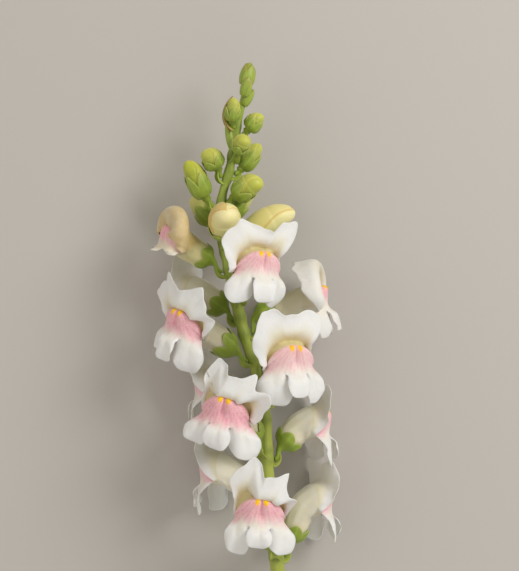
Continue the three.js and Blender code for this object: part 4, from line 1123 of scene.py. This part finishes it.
# ---- pieces ---------------------------------------------------------------------------------
def grow_bloom(number, bloom):
    matrix, crest, size = bloom_frame(bloom["face"]), np.array(bloom["towards"]), bloom["size"]
    place, out, foot, lifted = foot_of(bloom["node"], crest, *BLOOM_FOOT)
    foot, place = (((p - crest) @ matrix) / size for p in (foot, place))
    tube = corolla_tube(foot, unit(lifted @ matrix))
    flower = corolla(tube, bloom, FIRST_SEED + number)
    green = calyx(tube, place, unit(out @ matrix), SEPAL_COVER, 1)
    for part, finish, slot, (points, faces, marks) in (
        ("corolla", snapdragon_petal, "petal_white", flower),
        ("calyx", sepal_green, "sepal_green", green),
    ):
        points = crest + (points * size) @ matrix.T
        name = f"{bloom['name']}_{part}"
        make_piece(f"{name}_fine", name, finish, [(points, faces, marks)])


def grow_bud(bud):
    name, width, tip = bud["name"], bud["width"], np.array(bud["towards"])
    reach, rise = bud.get("stalk", [1.4 + width * 0.15, 1.7 + width * 0.1])
    place, out, foot, lifted = foot_of(bud["node"], tip, reach, rise)
    tube = bud_tube(foot, tip, width, unit(lifted + unit(tip - foot)), out)
    make_piece(f"{name}_calyx_fine", f"{name}_calyx", sepal_green,
               [calyx(tube, place, out, bud["cover"], 0)])
    make_piece(f"{name}_corolla_fine", f"{name}_corolla", closed_bud,
               [bud_shell(tube, width, bud["ripe"], bud["worn"])])


def grow_stem():
    shells = [stem_shell()]
    for flower in BLOOMS + BUDS:
        low = flower["node"] - BRACT_BELOW
        root, out, ahead = stem_skin(low, flower["towards"], -BRACT_SUNK)
        if "leaf" in flower:
            # This bract is a boat round its bud, on the side away from the light.
            aside = np.array([-1.0, 0, 0.1])
            out = unit(aside - ahead * (aside @ ahead))
            root = stem_at(flower["node"])[0] + out * 0.6
            shells.append(blade_shell(root, out, ahead, *flower["leaf"], BOAT_LIFT, 1.0))
        else:
            shells.append(blade_shell(root, out, ahead, *BRACT_SIZE, BRACT_LIFT))
    for number, (foot, tip, width) in enumerate(BUDLETS):
        first = FIRST_SCALE + NEXT_FIRST * number
        shells.append(budlet_shell(np.array(foot), np.array(tip), width, first))
    make_piece("stem_fine", "stem", living_stem, shells)


grow_stem()
for count, one in enumerate(BLOOMS):
    grow_bloom(count, one)
for one in BUDS:
    grow_bud(one)


# ---- studio ---------------------------------------------------------------------------------
def studio_floor():
    floor = bpy.data.meshes.new("pale_floor")
    reach = 2.5
    corners = [(-reach, -reach, 0), (reach, -reach, 0), (reach, reach, 0), (-reach, reach, 0)]
    floor.from_pydata(corners, [], [(0, 1, 2, 3)])
    paint = bpy.data.materials.new("pale_matt_floor")
    paint.use_nodes = True
    shader = paint.node_tree.nodes["Principled BSDF"]
    shader.inputs["Base Color"].default_value = linear("#BDB9B4")
    shader.inputs["Roughness"].default_value = 0.85
    floor.materials.append(paint)
    made = bpy.data.objects.new("pale_floor", floor)
    bpy.context.collection.objects.link(made)


def soft_light(name, place, aim, watts, size, colour):
    lamp = bpy.data.lights.new(name, "AREA")
    lamp.energy, lamp.size, lamp.color = watts, size, linear(colour)[:3]
    made = bpy.data.objects.new(name, lamp)
    bpy.context.collection.objects.link(made)
    made.location = place
    made.rotation_euler = (Vector(aim) - Vector(place)).to_track_quat("-Z", "Y").to_euler()


studio_floor()
for light in (
    ("window", (0.75, 0.55, 0.75), (0, 0.05, 0.03), 9.2, 0.55, "#FFFDFA"),
    ("fill", (-0.8, 0.1, 0.8), (0, 0.02, 0.03), 2.8, 0.9, "#FFF8F0"),
    ("low", (0.2, -1.0, 0.5), (0, 0, 0.03), 1.5, 0.7, "#FFFFFF"),
):
    soft_light(*light)
world = bpy.data.worlds.new("soft_room")
world.use_nodes = True
world.node_tree.nodes["Background"].inputs[0].default_value = linear("#DAD5CD")
world.node_tree.nodes["Background"].inputs[1].default_value = 0.6
bpy.context.scene.world = world
bpy.context.scene.view_settings.view_transform = "Standard"

# The camera looks straight down on the laid stem, as the blooms are seen from the front.
VIEW_DISTANCE, BLOOMS_HEIGHT, FRAME_HEIGHT = 0.9, 0.025, 0.2455
eye = bpy.data.cameras.new("eye")
eye.sensor_width = 36
eye.lens = 36 * VIEW_DISTANCE / FRAME_HEIGHT
camera = bpy.data.objects.new("eye", eye)
camera.location = (*-CENTRE[:2] / 1000, BLOOMS_HEIGHT + VIEW_DISTANCE)
bpy.context.collection.objects.link(camera)
bpy.context.scene.camera = camera
